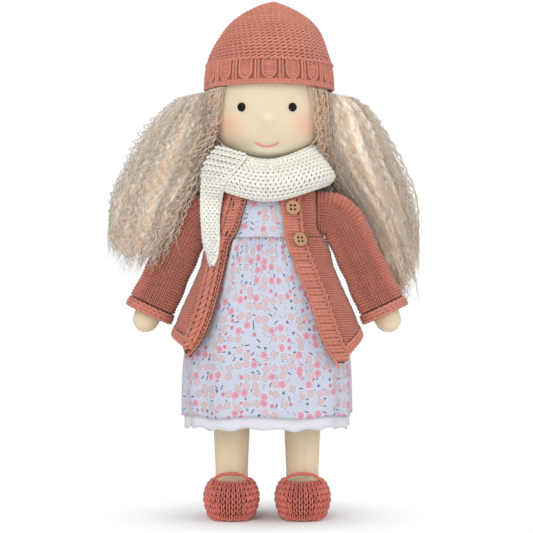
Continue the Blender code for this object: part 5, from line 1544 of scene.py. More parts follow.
plain_button = turned_button()
plain_thread = four_pegs("plain_thread", HOLE_RADIUS - 0.00010, -0.0004, BUTTON_THICKNESS - 0.00125)
for name in ("upper", "lower"):
    points = np.array([vert.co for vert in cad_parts[f"{name}_button"].data.vertices])
    middle = points.mean(axis=0)
    out = np.linalg.svd(points - middle)[2][-1]
    out = out if out[1] < 0 else -out
    seat = middle + out * ((points - middle) @ out).min()
    place = Matrix.Translation(seat) @ Vector(out).to_track_quat("Z", "Y").to_matrix().to_4x4()
    for made, kind, finish, slot in ((plain_button, "button", wood, "button_wood"),
                                     (plain_thread, "button_thread", dark_thread, "dark_thread")):
        copy = bpy.data.objects.new(f"{name}_wooden_{kind}", made.data.copy())
        bpy.context.collection.objects.link(copy)
        copy.data.transform(place)
        copy.data.materials.append(finish)
        only(copy)
        bpy.ops.object.shade_smooth_by_angle(angle=math.radians(30))
        worn(copy, "torso", f"{name}_{kind}")
    print(f"{name} button at", [round(1000 * value, 1) for value in seat], "mm")
bpy.data.objects.remove(plain_button)
bpy.data.objects.remove(plain_thread)

# %% [markdown]
# ## Hat
# The hat's crown is garter knitting: purl ridges that sway from side to side, one above the other, with grooves
# between them, whose layer is darker as painted shade. Each ridge is a closed strand with its own number of
# waves, fewer towards the top, as the knitter takes stitches off. The brim has arched panels of finer
# knitting, each framed by a strand that runs down, turns under the panel and comes up again, with two ribs
# between neighbours.

# %% Hat sizes
HAT_RIM = 0.3330
HAT_TOP = 0.4000
BRIM_HEIGHT = 0.0185
HAT_RIM_RADIUS = 0.0512
HAT_ROWS = ((0.0, 1.0), (0.116, 1.0), (0.291, 0.957), (0.410, 0.910), (0.534, 0.843), (0.670, 0.740),
            (0.791, 0.608), (0.900, 0.425), (0.964, 0.250), (1.0, 0.02))
RIDGE_PITCH = 2.75
WAVE = 0.0048
HAT_LEAN = 0.0025
HAT_SHIFT = 0.0016
HAT_SAG = 0.0016
fine = np.linspace(0, 1, 400)
profile_r = HAT_RIM_RADIUS * eased(fine, HAT_ROWS, 1, 0.03)
profile_z = HAT_RIM + (HAT_TOP - HAT_RIM) * fine
profile_run = np.concatenate([[0.0], np.cumsum(np.hypot(np.diff(profile_r[::-1]), np.diff(profile_z[::-1])))]) * 1000


def crown_place(i, j):
    """The crown's cloth: i is in turns round it, j in millimetres down from its top."""
    radius = np.interp(j, profile_run, profile_r[::-1]) - 0.0012
    height = np.interp(j, profile_run, profile_z[::-1]) - 0.0010
    dent = 0.0006 * np.sin(6 * math.pi * i + j / 9) + 0.0004 * np.sin(10 * math.pi * i - j / 7)
    lean = HAT_LEAN * np.clip((height - HAT_RIM) / (HAT_TOP - HAT_RIM), 0, 1)
    turn = math.tau * i
    height = height - HAT_SAG * np.sin(turn) ** 2
    radius = radius + dent
    return np.stack([lean + HAT_SHIFT + radius * np.sin(turn), -radius * np.cos(turn), height], axis=-1)


# %% Crown
brim_top = float(np.interp(HAT_RIM + BRIM_HEIGHT, profile_z, np.arange(400)))
brim_run = float(profile_run[int(399 - brim_top)])


def crown_cloth(i, j):
    return crown_place(i / 96, j)


# The layer under the ridges keeps the low default tone: painted shade in the grooves between them.
lots = [layer(crown_cloth, np.arange(97), np.linspace(0.6, brim_run - 0.6, 36), -0.0014, -0.0001, closed=True)]
j = brim_run - 0.9
row = 0
while j > 3.0:
    around = math.tau * np.interp(j, profile_run, profile_r[::-1])
    count = max(int(round(around / WAVE)), 5)
    i = np.linspace(0, 1, count * 8, endpoint=False)
    turn = math.tau * (count * i + 0.13 * row)
    zigzag = np.sin(turn) + 0.22 * np.sin(2 * turn)
    tucked = 0.0010 if row == 0 else 0.0003
    points, out = over(lambda a, b: crown_place(a / 100, b), 100 * i[None], (j + 0.62 * zigzag)[None], tucked)
    lots.append(strands(points, out, 0.00112, 0.00125, sides=5, closed=True, tone=uneven(1, 0.035)))
    j -= RIDGE_PITCH
    row += 1
crown = piece("hat_crown_knitting", lots, terracotta)
worn(crown, "hat", "hat_crown")

# %% Brim
PANELS = 17
PANEL = math.tau * HAT_RIM_RADIUS * 1000 / PANELS


def brim_place(i, j):
    """The brim's cloth: i and j in millimetres, round it and down from its top."""
    angle = math.tau * i / (PANELS * PANEL)
    flare = eased(j, ((0.0, -0.0016), (6.0, -0.0004), (18.5, 0.0003)), 1, 2.0)
    radius = HAT_RIM_RADIUS - 0.0021 + flare
    height = HAT_RIM + BRIM_HEIGHT - j / 1000 - HAT_SAG * np.sin(angle) ** 2
    return np.stack([HAT_SHIFT + radius * np.sin(angle), -radius * np.cos(angle), height], axis=-1)


# The layer under the panels has a tone of 0.55: painted shade between their strands.
lots = [layer(brim_place, np.linspace(0, PANELS * PANEL, 121), np.linspace(0.2, 18.0, 14), -0.0016, 0.0,
              closed=True, tone=0.55)]
offsets = PANEL * np.arange(PANELS)
for rib in (-1.25, 1.25):
    j = np.linspace(0.0, 15.6, 32)
    i = offsets[:, None] + 0.5 * PANEL + rib + 0.2 * np.sin(math.tau * j / 2.6)[None]
    lots.append(laid(brim_place, i, j, 0.0007, 0.00100, 0.00105, 0.05, sides=6))
ARCH_HALF = 5.0
ARCH_TOP = 8.0
ARCH_BOTTOM = 14.8
turn = np.linspace(0, math.pi, 25)
arch_i = np.concatenate([np.full(14, -ARCH_HALF), -ARCH_HALF * np.cos(turn), np.full(14, ARCH_HALF)])
arch_j = np.concatenate([np.linspace(0, ARCH_TOP, 14), ARCH_TOP + (ARCH_BOTTOM - ARCH_TOP) * np.sin(turn) ** 0.8,
                         np.linspace(ARCH_TOP, 0, 14)])
lots.append(laid(brim_place, offsets[:, None] + arch_i[None], arch_j, 0.0007, 0.00100, 0.00100, 0.05, sides=6))
for j in np.arange(1.4, 13.6, 1.85):
    half = 4.2 if j < 8 else 4.2 * math.sqrt(max(1 - ((j - 8) / 6.4) ** 2, 0.1))
    i = np.linspace(-half, half, 20)
    rows = j + 0.55 * np.sin(math.tau * i / 2.9)
    lots.append(laid(brim_place, offsets[:, None] + i[None], rows, 0.0001, 0.00085, 0.00095, 0.05))
for j, thick in ((16.6, 0.00115), (18.2, 0.00125)):
    lots.append(waves(brim_place, j, 0, PANELS * PANEL, wave=PANEL / 5, sway=0.5, wide=thick, tall=thick,
                      lift=0.0003, phase=0.2 * j, closed=True))
brim = piece("hat_brim_knitting", lots, terracotta)
worn(brim, "hat", "hat_brim")

# %% [markdown]
# ## Scarf
# The scarf is thick white wool in garter stitch, wrapped once round the neck, with one tapered end that hangs
# over the doll's right side. Its wrap is a band with a rounded section that changes on the way round, so its
# cloth is a table of sections. Rows of waving strands, each half a wave on from its neighbour, give the bumps.
# The hanging end lies on whatever is under it, so its depth is felt out on the frame's own part.

# %% Scarf sections
SCARF_SIDE = ((0.0390, 0.0125), (0.0455, 0.0020), (0.0525, -0.0100), (0.0480, -0.0160),
              (0.0430, -0.0165), (0.0475, -0.0095), (0.0410, -0.0005), (0.0350, 0.0100))
SCARF_FRONT = ((0.0335, -0.0008), (0.0400, -0.0105), (0.0408, -0.0195), (0.0376, -0.0287),
               (0.0330, -0.0282), (0.0360, -0.0190), (0.0352, -0.0110), (0.0290, -0.0015))
SCARF_BACK = ((0.0375, 0.0100), (0.0430, -0.0020), (0.0440, -0.0120), (0.0410, -0.0210),
              (0.0365, -0.0200), (0.0395, -0.0120), (0.0385, -0.0035), (0.0335, 0.0065))
AROUND = 276.0
SECTION_RUN = 72.0


def closed_curve(corners, count):
    """A smooth closed line through the corners, with evenly spaced points."""
    corners = np.array(corners)
    before, after, third = np.roll(corners, 1, 0), np.roll(corners, -1, 0), np.roll(corners, -2, 0)
    share = np.linspace(0, 1, 24, endpoint=False)[:, None, None]
    line = 0.5 * (2 * corners + (after - before) * share + (2 * before - 5 * corners + 4 * after - third) * share**2
                  + (3 * corners - before - 3 * after + third) * share**3)
    line = 0.5 * line + 0.5 * (corners + (after - corners) * share)
    line = line.transpose(1, 0, 2).reshape(-1, 2)
    line = np.vstack([line, line[:1]])
    run = run_along(line)
    even = np.linspace(0, run[-1], count)
    return np.stack([np.interp(even, run, line[:, 0]), np.interp(even, run, line[:, 1])], axis=-1)


turns = np.linspace(0, math.tau, 145)
sections = []
for turn in turns:
    beside = math.sin(turn) ** 2
    other = np.array(SCARF_FRONT if math.cos(turn) > 0 else SCARF_BACK)
    sections.append(closed_curve(beside * np.array(SCARF_SIDE) + (1 - beside) * other, 145))
sections = np.array(sections)
SCARF_REACH, SCARF_RISE = sections[..., 0].T, sections[..., 1].T


def scarf_place(i, j):
    """The wrap's cloth: i in millimetres round it from the front, j down its outside from its top edge."""
    round_it, down = (i / AROUND) % 1.0, (j / SECTION_RUN) % 1.0
    reach = look_up(SCARF_REACH, round_it, down) - 0.0011
    height = NECK_TOP + look_up(SCARF_RISE, round_it, down)
    turn = math.tau * i / AROUND
    return np.stack([reach * np.sin(turn), -reach * np.cos(turn), height], axis=-1)


# %% Scarf wrap
SCARF_ROW = 2.95
SCARF_WAVE = AROUND / 66
# The layer under the ridges has a tone of 0.62: painted shade between them.
lots = [layer(scarf_place, np.linspace(0, AROUND, 121), np.linspace(0, SECTION_RUN, 49), -0.0010, 0.0, closed=True,
              tone=0.62)]
for row in range(12):
    lots.append(waves(scarf_place, 1.4 + SCARF_ROW * row, 0, AROUND, wave=SCARF_WAVE, sway=1.10, wide=0.00125,
                      tall=0.00150, lift=0.0009, phase=0.5 * row + 0.06 * math.sin(row), closed=True, points_each=6))
for row in range(12, 24):
    lots.append(waves(scarf_place, 1.4 + SCARF_ROW * row, 0, AROUND, wave=2 * SCARF_WAVE, sway=0.6, wide=0.0014,
                      tall=0.0011, lift=0.0003, closed=True, points_each=5))
lots.append(waves(scarf_place, -0.9, 0, AROUND, wave=AROUND / 50, sway=0.8, wide=0.0016, tall=0.0017, lift=0.0006,
                  closed=True, points_each=8))
wrap = piece("scarf_wrap_knitting", lots, white_wool)
worn(wrap, "torso", "scarf_wrap")

# %% Scarf end
# the outer edge's X and its height over the neck's top, and the same for the inner edge
TAIL_ROWS = ((-0.0370, 0.0115, -0.0155, 0.0045), (-0.0450, 0.0030, -0.0210, -0.0030),
             (-0.0490, -0.0070, -0.0280, -0.0110), (-0.0500, -0.0160, -0.0335, -0.0180),
             (-0.0505, -0.0280, -0.0352, -0.0290), (-0.0505, -0.0415, -0.0372, -0.0415),
             (-0.0490, -0.0615, -0.0373, -0.0615), (-0.0455, -0.0735, -0.0385, -0.0735),
             (-0.0430, -0.0810, -0.0410, -0.0810))
rows = np.array(TAIL_ROWS)
middle = np.stack([(rows[:, 0] + rows[:, 2]) / 2, (rows[:, 1] + rows[:, 3]) / 2], axis=-1)
tail_run = run_along(middle) * 1000
TAIL_LENGTH = float(tail_run[-1])
fine_run = np.linspace(0, TAIL_LENGTH, 70)
edges = [sum(np.interp(fine_run + step, tail_run, rows[:, k]) for step in (-2.5, -1.25, 0, 1.25, 2.5)) / 5
         for k in range(4)]
under = bpy.data.objects["scarf_tail"]
shares = np.linspace(0, 1, 9)
tail_points = np.zeros((70, 9, 3))
for a in range(70):
    for b, share in enumerate(shares):
        held = 0.06 + 0.88 * share
        x = edges[0][a] + (edges[2][a] - edges[0][a]) * held
        z = NECK_TOP + edges[1][a] + (edges[3][a] - edges[1][a]) * held
        found, spot, _, _ = under.ray_cast((x, -0.2, z), (0, 1, 0))
        x = edges[0][a] + (edges[2][a] - edges[0][a]) * share
        z = NECK_TOP + edges[1][a] + (edges[3][a] - edges[1][a]) * share
        tail_points[a, b] = (x, spot.y if found else np.nan, z)
depths = tail_points[..., 1]
for b in range(9):
    known = ~np.isnan(depths[:, b])
    depths[:, b] = np.interp(np.arange(70), np.flatnonzero(known), depths[known, b])
for _ in range(3):
    depths[1:-1] = (depths[:-2] + 2 * depths[1:-1] + depths[2:]) / 4
depths += 0.0004 + 0.0014 * (2 * np.abs(shares - 0.5)) ** 3


def tail_place(share, j):
    """The hanging end's cloth: a share of its width, and millimetres down from its top."""
    down = j / TAIL_LENGTH
    return np.stack([look_up(tail_points[..., k], share, down) for k in range(3)], axis=-1)


def tail_width(j):
    return 1000 * np.interp(j, fine_run, np.hypot(edges[2] - edges[0], edges[3] - edges[1]))


# The layer under the ridges has a tone of 0.62: painted shade between them.
lots = [layer(tail_place, np.linspace(0.0, 1.0, 13), np.linspace(0.2, TAIL_LENGTH - 0.2, 60), -0.0024, 0.0, tone=0.62)]
j, row = 1.2, 0
RIBBED = 27.0
while j < TAIL_LENGTH - 1.0:
    wide = float(tail_width(np.array(j)))
    count = max(int(round(wide / 3.2)), 1)
    i = np.linspace(0.3, wide - 0.3, count * 7 + 1)
    ribbed = j < RIBBED
    roll = 0.0016 * max(0.0, math.sin(math.tau * j / 4.6)) if ribbed else 0.0
    rows_here = j + 0.8 * np.sin(math.tau * (i / 3.2 + 0.5 * row))
    lots.append(laid(tail_place, i / wide, rows_here, 0.0005 + roll, 0.00106, 0.00120, 0.03))
    j += 2.3
    row += 1
for edge, phase in ((0.0, 0.0), (1.0, 1.0)):
    j = np.arange(0.4, TAIL_LENGTH - 0.3, 0.5)
    lift = -0.0006 + 0.0004 * np.sin(math.tau * j / 3.2 + phase)
    points, out = over(tail_place, np.full_like(j, edge)[None], j[None], lift[None])
    lots.append(strands(points, out, 0.0014, 0.0016, sides=6, tone=1.0))
tail = piece("scarf_end_knitting", lots, white_wool)
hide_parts("scarf_tail")
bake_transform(tail)

# %% [markdown]
# ## Hair
# The hair is crimped mohair, sewn to a wig cap under the hat and combed down in two loose bunches and a back.
# Each lock is a group of strands that crimp together. A strand is a thin tube along a path, so the hair has
# real depth between the locks. The paths run down inside each bunch's outline, and every point that would lie
# inside the head, the scarf, the cardigan or a sleeve is pushed out of it first. A soft core inside each
# bunch stops light from showing through.

# %% Hair material
HAIR_DEEP = (0.98, 0.60, 0.35)
HAIR_LIGHT = (0.98, 0.91, 0.79)
CAP_TONE = 0.6


def hair_fibre(name, toned=True):
    """Crimped wool hair, deeper where its tone is low, which holds painted shade as well as random tones. The cap's is
    all of one tone.
    """
    made, tree, shader = new_material(name)
    place = in_object(tree)
    spot = parts_of(tree, on_cloth(tree))
    clouds = noise(tree, place, 55.0, 3.0)
    fibres = noise(tree, place, 900.0, 4.0, 0.7)
    tone = tone_of(tree) if toned else CAP_TONE
    lines = sine(tree, scaled(tree, spot[0], 12 * math.pi, times(tree, fibres, 6.0)))
    streaks = noise(tree, on_cloth(tree), 4.0, 3.0, 0.6)
    light = maths(tree, "ADD", tone, scaled(tree, clouds, 0.24, -0.12))
    light = maths(tree, "ADD", light, scaled(tree, streaks, 0.9, -0.45))
    # Where the lines, streaks and fibres lower the bump they also darken the colour, a painted shade; the streaks also
    # vary the colour at random.
    colour = between(tree, scaled(tree, lines, 0.05, light), HAIR_DEEP, HAIR_LIGHT)
    shown = dimmed(tree, colour, scaled(tree, fibres, 0.30, 0.85))
    height = maths(tree, "ADD", times(tree, lines, 0.4), scaled(tree, streaks, 3.0, fibres))
    surface(tree, shader, shown, height, 0.00006, 0.70, sheen=0.0, gloss=0.10)
    soften(shader, 0.45, (1.0, 0.85, 0.70), 0.003)
    return made


mohair = hair_fibre("blond_mohair")
cap_mohair = hair_fibre("cap_mohair", toned=False)

# %% Hair outlines
# height over the middle of the head, inner edge, outer edge, middle in depth, half-depth
LEFT_BUNCH = ((0.0119, 0.0400, 0.0550, 0.000, 0.0110), (-0.0011, 0.0385, 0.0755, -0.002, 0.0180),
              (-0.0211, 0.0380, 0.0885, 0.001, 0.0200), (-0.0361, 0.0385, 0.0960, 0.006, 0.0185),
              (-0.0638, 0.0527, 0.1080, 0.018, 0.0155), (-0.0790, 0.0658, 0.1135, 0.024, 0.0145),
              (-0.1064, 0.0800, 0.1195, 0.028, 0.0130), (-0.1337, 0.0930, 0.1175, 0.028, 0.0104),
              (-0.1506, 0.1020, 0.1090, 0.028, 0.0050))
RIGHT_BUNCH = ((0.0119, 0.0385, 0.0520, 0.000, 0.0110), (0.0019, 0.0370, 0.0700, -0.002, 0.0180),
               (-0.0211, 0.0370, 0.0912, -0.001, 0.0200), (-0.0365, 0.0430, 0.1000, -0.002, 0.0190),
               (-0.0598, 0.0505, 0.1115, -0.004, 0.0165), (-0.0790, 0.0618, 0.1190, -0.008, 0.0150),
               (-0.1064, 0.0719, 0.1220, -0.010, 0.0142), (-0.1236, 0.0790, 0.1205, -0.010, 0.0124),
               (-0.1331, 0.0880, 0.1120, -0.010, 0.0080))
FLOW_FROM = HEAD_MIDDLE - 0.1064
HAT_TUCK = 0.3350


def head_clearance(z, more):
    return head_radius(np.clip(z, HEAD_MIDDLE - 0.0455, HEAD_MIDDLE + 0.06)) + more


scarf_levels = np.linspace(NECK_TOP - 0.030, NECK_TOP + 0.014, 45)
scarf_limit = np.zeros((45, 145))
for k, level in enumerate(scarf_levels):
    near = np.abs(SCARF_RISE + NECK_TOP - level) < 0.0012
    scarf_limit[k] = np.where(near, SCARF_REACH, 0).max(axis=0)


def pushed_out(side, points, room=0.0010):
    """Moves points out of the head, the scarf, the cardigan and that side's sleeve."""
    points = points.copy()
    x, y, z = points[..., 0], points[..., 1], points[..., 2]
    reach = np.hypot(x, y)
    limit = np.where(z > HEAD_MIDDLE - 0.044, head_clearance(z, 0.0016 + room), 0.0)
    inside = (z > scarf_levels[0]) & (z < scarf_levels[-1])
    turn = (np.arctan2(x, -y) / (math.tau)) % 1.0
    scarf = look_up(scarf_limit, turn, (z - scarf_levels[0]) / (scarf_levels[-1] - scarf_levels[0]))
    limit = np.where(inside & (scarf > 0), np.maximum(limit, scarf + 0.0012 + room), limit)
    wide, deep = cardigan_size(z, 0.0012 + room)
    share = (np.abs(x / wide) ** BODY_POWER + np.abs(y / deep) ** BODY_POWER) ** (1 / BODY_POWER)
    low = z < NECKLINE + 0.001
    limit = np.where(low & (share < 1), np.maximum(limit, reach / np.maximum(share, 1e-3)), limit)
    factor = np.where(reach < limit, limit / np.maximum(reach, 1e-4), 1.0)
    points[..., 0], points[..., 1] = x * factor, y * factor
    distance = np.linspace(-0.010, BEND_LENGTH + SLEEVE_LENGTH, 60)
    axis = arm_place(side, np.zeros(60), distance, np.zeros(60), ELBOW)
    flat = points.reshape(-1, 3)
    away = flat[:, None] - axis[None]
    gaps = np.linalg.norm(away, axis=-1)
    nearest = gaps.argmin(axis=1)
    gap = gaps[np.arange(len(flat)), nearest]
    way = away[np.arange(len(flat)), nearest]
    thick = SLEEVE_RADIUS + 0.0024 + room
    flat = np.where((gap < thick)[:, None], axis[nearest] + way * (thick / np.maximum(gap, 1e-4))[:, None], flat)
    return flat.reshape(points.shape)


def tucked(points):
    """Holds points above the hat's rim inside the hat."""
    z = points[..., 2]
    reach = np.hypot(points[..., 0] - HAT_SHIFT, points[..., 1])
    rim = 0.3270 + 0.0042 * np.clip(-points[..., 1] / reach, 0, 1) + 0.0008 * (points[..., 0] < 0)
    most = 0.0460 + 0.09 * np.clip((rim - z) / 0.010, 0, 1) ** 1.2
    factor = np.minimum(1.0, most / reach)[..., None]
    return np.concatenate([points[..., :2] * factor, points[..., 2:]], axis=-1)


def smoothed(paths, times):
    for _ in range(times):
        paths[:, 1:-1] = (paths[:, :-2] + 2 * paths[:, 1:-1] + paths[:, 2:]) / 4
    return paths


# %% Locks
def scattered_locks(count, locks, tightness, power=2.6):
    """Places in a rounded square for strands that gather in locks, and the number of each strand's lock."""
    lock = np.arange(count) % locks
    reach = np.sqrt(0.80 + 0.22 * (2.618 * np.arange(locks) % 1))
    across, along = rounded(2.39996 * np.arange(locks), power)
    centres = np.stack([reach * across, reach * along], axis=-1)
    spot = centres[lock] + tightness * rng.standard_normal((count, 2))
    size = (np.abs(spot) ** power).sum(axis=1) ** (1 / power)
    return spot / np.maximum(size, 1.0)[:, None], lock


def crimped(paths, lock, locks, strength, low, high):
    """Adds the crimp: each lock has its own wavelength and direction, and its strands nearly share them."""
    count = len(paths)
    run = run_along(paths)
    wave = rng.uniform(low, high, locks)[lock][:, None] * rng.uniform(0.93, 1.07, (count, 1))
    phase = rng.uniform(0, math.tau, locks)[lock][:, None] + 0.5 * rng.standard_normal((count, 1))
    facing = rng.uniform(0, math.pi, locks)[lock] + 0.5 * rng.standard_normal(count)
    grow = strength * np.clip(run / 0.02, 0.25, 1.0) * rng.uniform(0.6, 1.3, (count, 1))
    grow = grow * (1 + 0.45 * np.sin(run / 0.009 + 3 * phase))
    turn = math.tau * run / wave + phase + 0.9 * np.sin(run / 0.011 + 2 * phase)
    first = np.stack([np.cos(facing), np.sin(facing), 0 * facing], axis=-1)[:, None]
    second = np.stack([-np.sin(facing), np.cos(facing), 0.5 + 0 * facing], axis=-1)[:, None]
    return paths + first * (grow * np.sin(turn))[..., None] + second * (0.6 * grow * np.cos(turn))[..., None]


def lock_tube(paths, thick, tone):
    """Strands along the paths, thin at both ends."""
    share = np.linspace(0, 1, paths.shape[1])
    taper = np.clip(np.minimum(share / 0.04 + 0.5, (1 - share) / 0.12), 0.12, 1.0)
    out = np.zeros_like(paths)
    out[..., 1] = -1.0
    wide = np.asarray(thick)[:, None] * taper[None]
    return strands(paths, out, 1.25 * wide, 0.50 * wide, sides=3, tone=tone, plies=20.0)


def hair_tone_and_inner_shade(spot):
    """Strands on a bunch's inner side, next to the face, are darker, a painted shade; all differ a little at random.
    """
    inward = np.clip(-spot[:, 0], 0, 1) ** 2
    return np.clip(0.85 - 0.35 * inward + 0.18 * rng.standard_normal(len(spot)), 0.0, 1.0)


# %% Side bunches
RINGS = 92


def bunch_paths(side, table, spot, z_top, z_end):
    z = z_top[:, None] + (z_end - z_top)[:, None] * np.linspace(0, 1, RINGS)[None]
    rows = [(HEAD_MIDDLE + row[0], *row[1:]) for row in table if row[0] > -0.107]
    low = min(rows)
    steep = sorted(rows)[1]
    drop = 0.06
    slope = [(low[k] - steep[k]) / (steep[0] - low[0]) for k in range(1, 5)]
    rows.append((low[0] - drop, *[low[k] + slope[k - 1] * drop * 0.75 for k in range(1, 5)]))
    near, far, y, half = [eased(z, rows, k, 0.005) for k in range(1, 5)]
    x = (near + far) / 2 + (far - near) / 2 * spot[:, :1]
    return np.stack([side * x, y + half * spot[:, 1:], z], axis=-1)


def bunch_ends(table, x_of, ragged):
    """Where each strand leaves the bunch's outline."""
    levels_here = np.linspace(HEAD_MIDDLE + table[-1][0] - 0.004, FLOW_FROM + 0.004, 50)
    rows = [(HEAD_MIDDLE + row[0], *row[1:]) for row in table]
    near, far = eased(levels_here, rows, 1), eased(levels_here, rows, 2)
    ends = []
    for x in x_of(levels_here):
        fits = (x > near - 0.0015) & (x < far + 0.0015)
        ends.append(levels_here[fits].min() if fits.any() else levels_here[-1])
    return np.array(ends) + ragged


def front_locks(side, table, count):
    """Paths that fall from the hat down the side of the face and then into the bunch's inner edge."""
    angle = np.radians(rng.uniform(41, 78, count))
    z_end = HEAD_MIDDLE + rng.uniform(-0.075, -0.045, count)
    z = HAT_TUCK + (z_end - HAT_TUCK)[:, None] * np.linspace(0, 1, RINGS)[None]
    hung = np.maximum(head_clearance(z, 0.0), np.where(z < HEAD_MIDDLE, 0.0454, 0.0))
    reach = hung + rng.uniform(0.0022, 0.0065, count)[:, None]
    angle = angle[:, None] + np.radians(7) * np.clip((HAT_TUCK - z) / 0.03, 0, 1)
    falling = np.stack([side * reach * np.sin(angle), -reach * np.cos(angle), z], axis=-1)
    rows = [(HEAD_MIDDLE + row[0], *row[1:]) for row in table]
    near, y, half = [eased(z, rows, k, 0.005) for k in (1, 3, 4)]
    inner = rng.uniform(0.000, 0.020, count)[:, None]
    depth = rng.uniform(-0.9, 0.2, count)[:, None]
    gathered = np.stack([side * (near + inner), y + half * depth, z], axis=-1)
    mix = np.clip((HEAD_MIDDLE - 0.012 - z) / 0.045, 0, 1)
    mix = (mix * mix * (3 - 2 * mix))[..., None]
    return falling * (1 - mix) + gathered * mix


def core(side, table):
    """A soft form that fills the middle of a bunch."""
    angle = np.linspace(0, math.tau, 193)[None]
    share = np.linspace(0, 1, 150)[:, None]
    top = HEAD_MIDDLE + table[0][0] - 0.002
    tips = HEAD_MIDDLE + table[-1][0] + SHORTER[side] + 0.009 - 0.006 * np.sin(19 * angle) * np.sin(7 * angle + 1)
    z = top + (tips - top) * share
    rows = [(HEAD_MIDDLE + row[0], *row[1:]) for row in table]
    near, far, y, half = [eased(z, rows, k, 0.004) for k in range(1, 5)]
    along, across = rounded(angle, 2.4)
    sway = 0.9 * np.sin(z / 0.0014 + 3 * np.sin(2 * angle)) + 0.8 * np.sin(z / 0.0031 + 2 * angle)
    crests = 0.030 * np.sin(17 * angle + sway) + 0.026 * np.sin(29 * angle - 1.3 * sway + 1)
    crests += 0.016 * np.sin(53 * angle + 1.6 * sway) + 0.02 * np.sin(6 * angle + z / 0.008)
    size = (0.955 + crests) * (1 - 0.55 * np.clip((share - 0.86) / 0.14, 0, 1) ** 2)
    x = (near + far) / 2 + (far - near) / 2 * along * size
    points = tucked(pushed_out(side, np.stack([side * x, y + 0.96 * half * across * size, z], axis=-1)))
    # The core's tone is a painted shade: lower in the troughs between its crests and on its inner side, next to the
    # face.
    tone = 0.68 + 4.0 * crests - 0.35 * np.clip(-along, 0, 1) ** 2 + 0 * z
    flat = np.stack([30 * angle / (math.tau) + 0.16 * sway, 20 * z], axis=-1)
    return points, tone, flat


def solid_core(side, table):
    points, tone, spread = core(side, table)
    rows, columns, _ = points.shape
    caps = np.stack([points[0].mean(axis=0), points[-1].mean(axis=0)])
    flat = np.concatenate([points[:, :-1].reshape(-1, 3), caps])
    index = np.arange(rows * (columns - 1)).reshape(rows, columns - 1)
    right = np.roll(index, -1, 1)
    quads = np.stack([index[:-1], index[1:], right[1:], right[:-1]], axis=-1).reshape(-1, 4)
    top = np.stack([np.full(columns - 1, len(flat) - 2), index[0], right[0]], axis=-1)
    bottom = np.stack([np.full(columns - 1, len(flat) - 1), right[-1], index[-1]], axis=-1)
    faces = [quads, top, bottom]
    if side > 0:
        faces = [group[:, ::-1] for group in faces]
    tone = np.clip(np.append(tone[:, :-1], [0.3, 0.3]), 0, 1)
    spread = np.concatenate([spread[:, :-1].reshape(-1, 2), np.zeros((2, 2))])
    return flat, faces, spread, tone


# %% Left and right hair
LOCKS = 64
WIDEST = {1: 0.1230, -1: 0.1250}
SHORTER = {1: 0.0, -1: 0.009}


def strand_ends(side, table, spot, z_top, ragged):
    """Where each strand stops: at the bottom of the bunch's outline, and a fifth of them a little higher."""
    count = len(spot)

    def x_of(levels_here):
        grid = bunch_paths(side, table, spot, np.full(count, levels_here[-1]), np.full(count, levels_here[0]))
        return [np.interp(levels_here, path[::-1, 2], side * path[::-1, 0]) for path in grid]

    z_end = bunch_ends(table, x_of, rng.uniform(-ragged, 0.004, count))
    short = rng.random(count) < 0.20
    return SHORTER[side] + np.where(short, z_end + rng.uniform(0.012, 0.050, count), z_end)


def kept_in(side, paths):
    """Holds the strands inside the doll's width, softly."""
    past = np.maximum(side * paths[..., 0] - WIDEST[side] + 0.008, 0)
    paths[..., 0] -= side * (past - 0.008 * (1 - np.exp(-past / 0.008)))
    return paths


for name, side, table in (("left", 1, LEFT_BUNCH), ("right", -1, RIGHT_BUNCH)):
    count = 215
    spot, lock = scattered_locks(count, LOCKS, 0.07)
    z_top = HAT_TUCK - 0.003 * rng.random(count)
    paths = bunch_paths(side, table, spot, z_top, strand_ends(side, table, spot, z_top, 0.006))
    wander = smoothed(0.0016 * rng.standard_normal((LOCKS, RINGS, 3)).cumsum(axis=1) / 3, 30)
    paths += (wander[lock] - wander[lock][:, :1]) * np.array([1, 1, 0])
    paths = smoothed(pushed_out(side, paths, 0.0012), 12)
    paths = pushed_out(side, crimped(paths, lock, LOCKS, 0.00155, 0.0060, 0.0125), 0.0004)
    tube_lot = lock_tube(tucked(kept_in(side, paths)), rng.uniform(0.00020, 0.00040, count), hair_tone_and_inner_shade(spot))
    bunch = piece(f"{name}_hair_locks", [solid_core(side, table), tube_lot], mohair)
    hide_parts(f"hair_{name}")
    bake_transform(bunch)

# %% Front locks and flyaway hair
for name, side, table in (("left", 1, LEFT_BUNCH), ("right", -1, RIGHT_BUNCH)):
    fronts = front_locks(side, table, 76)
    lock = np.arange(76) // 4
    fronts = smoothed(pushed_out(side, fronts, 0.0012), 12)
    fronts = pushed_out(side, crimped(fronts, lock, 19, 0.00150, 0.0055, 0.0110), 0.0004)
    spot, lock = scattered_locks(150, 50, 0.25)
    size = (np.abs(spot) ** 2.6).sum(axis=1) ** (1 / 2.6)
    spot *= (rng.uniform(0.94, 1.10, 150) / size)[:, None]
    z_top = HAT_TUCK - 0.10 * rng.random(150) ** 2
    loose = bunch_paths(side, table, spot, z_top, strand_ends(side, table, spot, z_top, 0.006))
    loose = smoothed(pushed_out(side, loose, 0.0016), 12)
    loose = pushed_out(side, crimped(loose, lock, 50, 0.00230, 0.0070, 0.0150), 0.0004)
    # The front locks, next to the face, take lower tones than the loose hair, as painted shade.
    lots = [lock_tube(tucked(kept_in(side, fronts)), rng.uniform(0.00026, 0.00048, 76), rng.uniform(0.05, 0.75, 76)),
            lock_tube(tucked(kept_in(side, loose)), rng.uniform(0.00014, 0.00026, 150), rng.uniform(0.5, 1.0, 150))]
    bunch = piece(f"{name}_loose_hair", lots, mohair)
    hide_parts(f"hair_{name}")
    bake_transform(bunch)

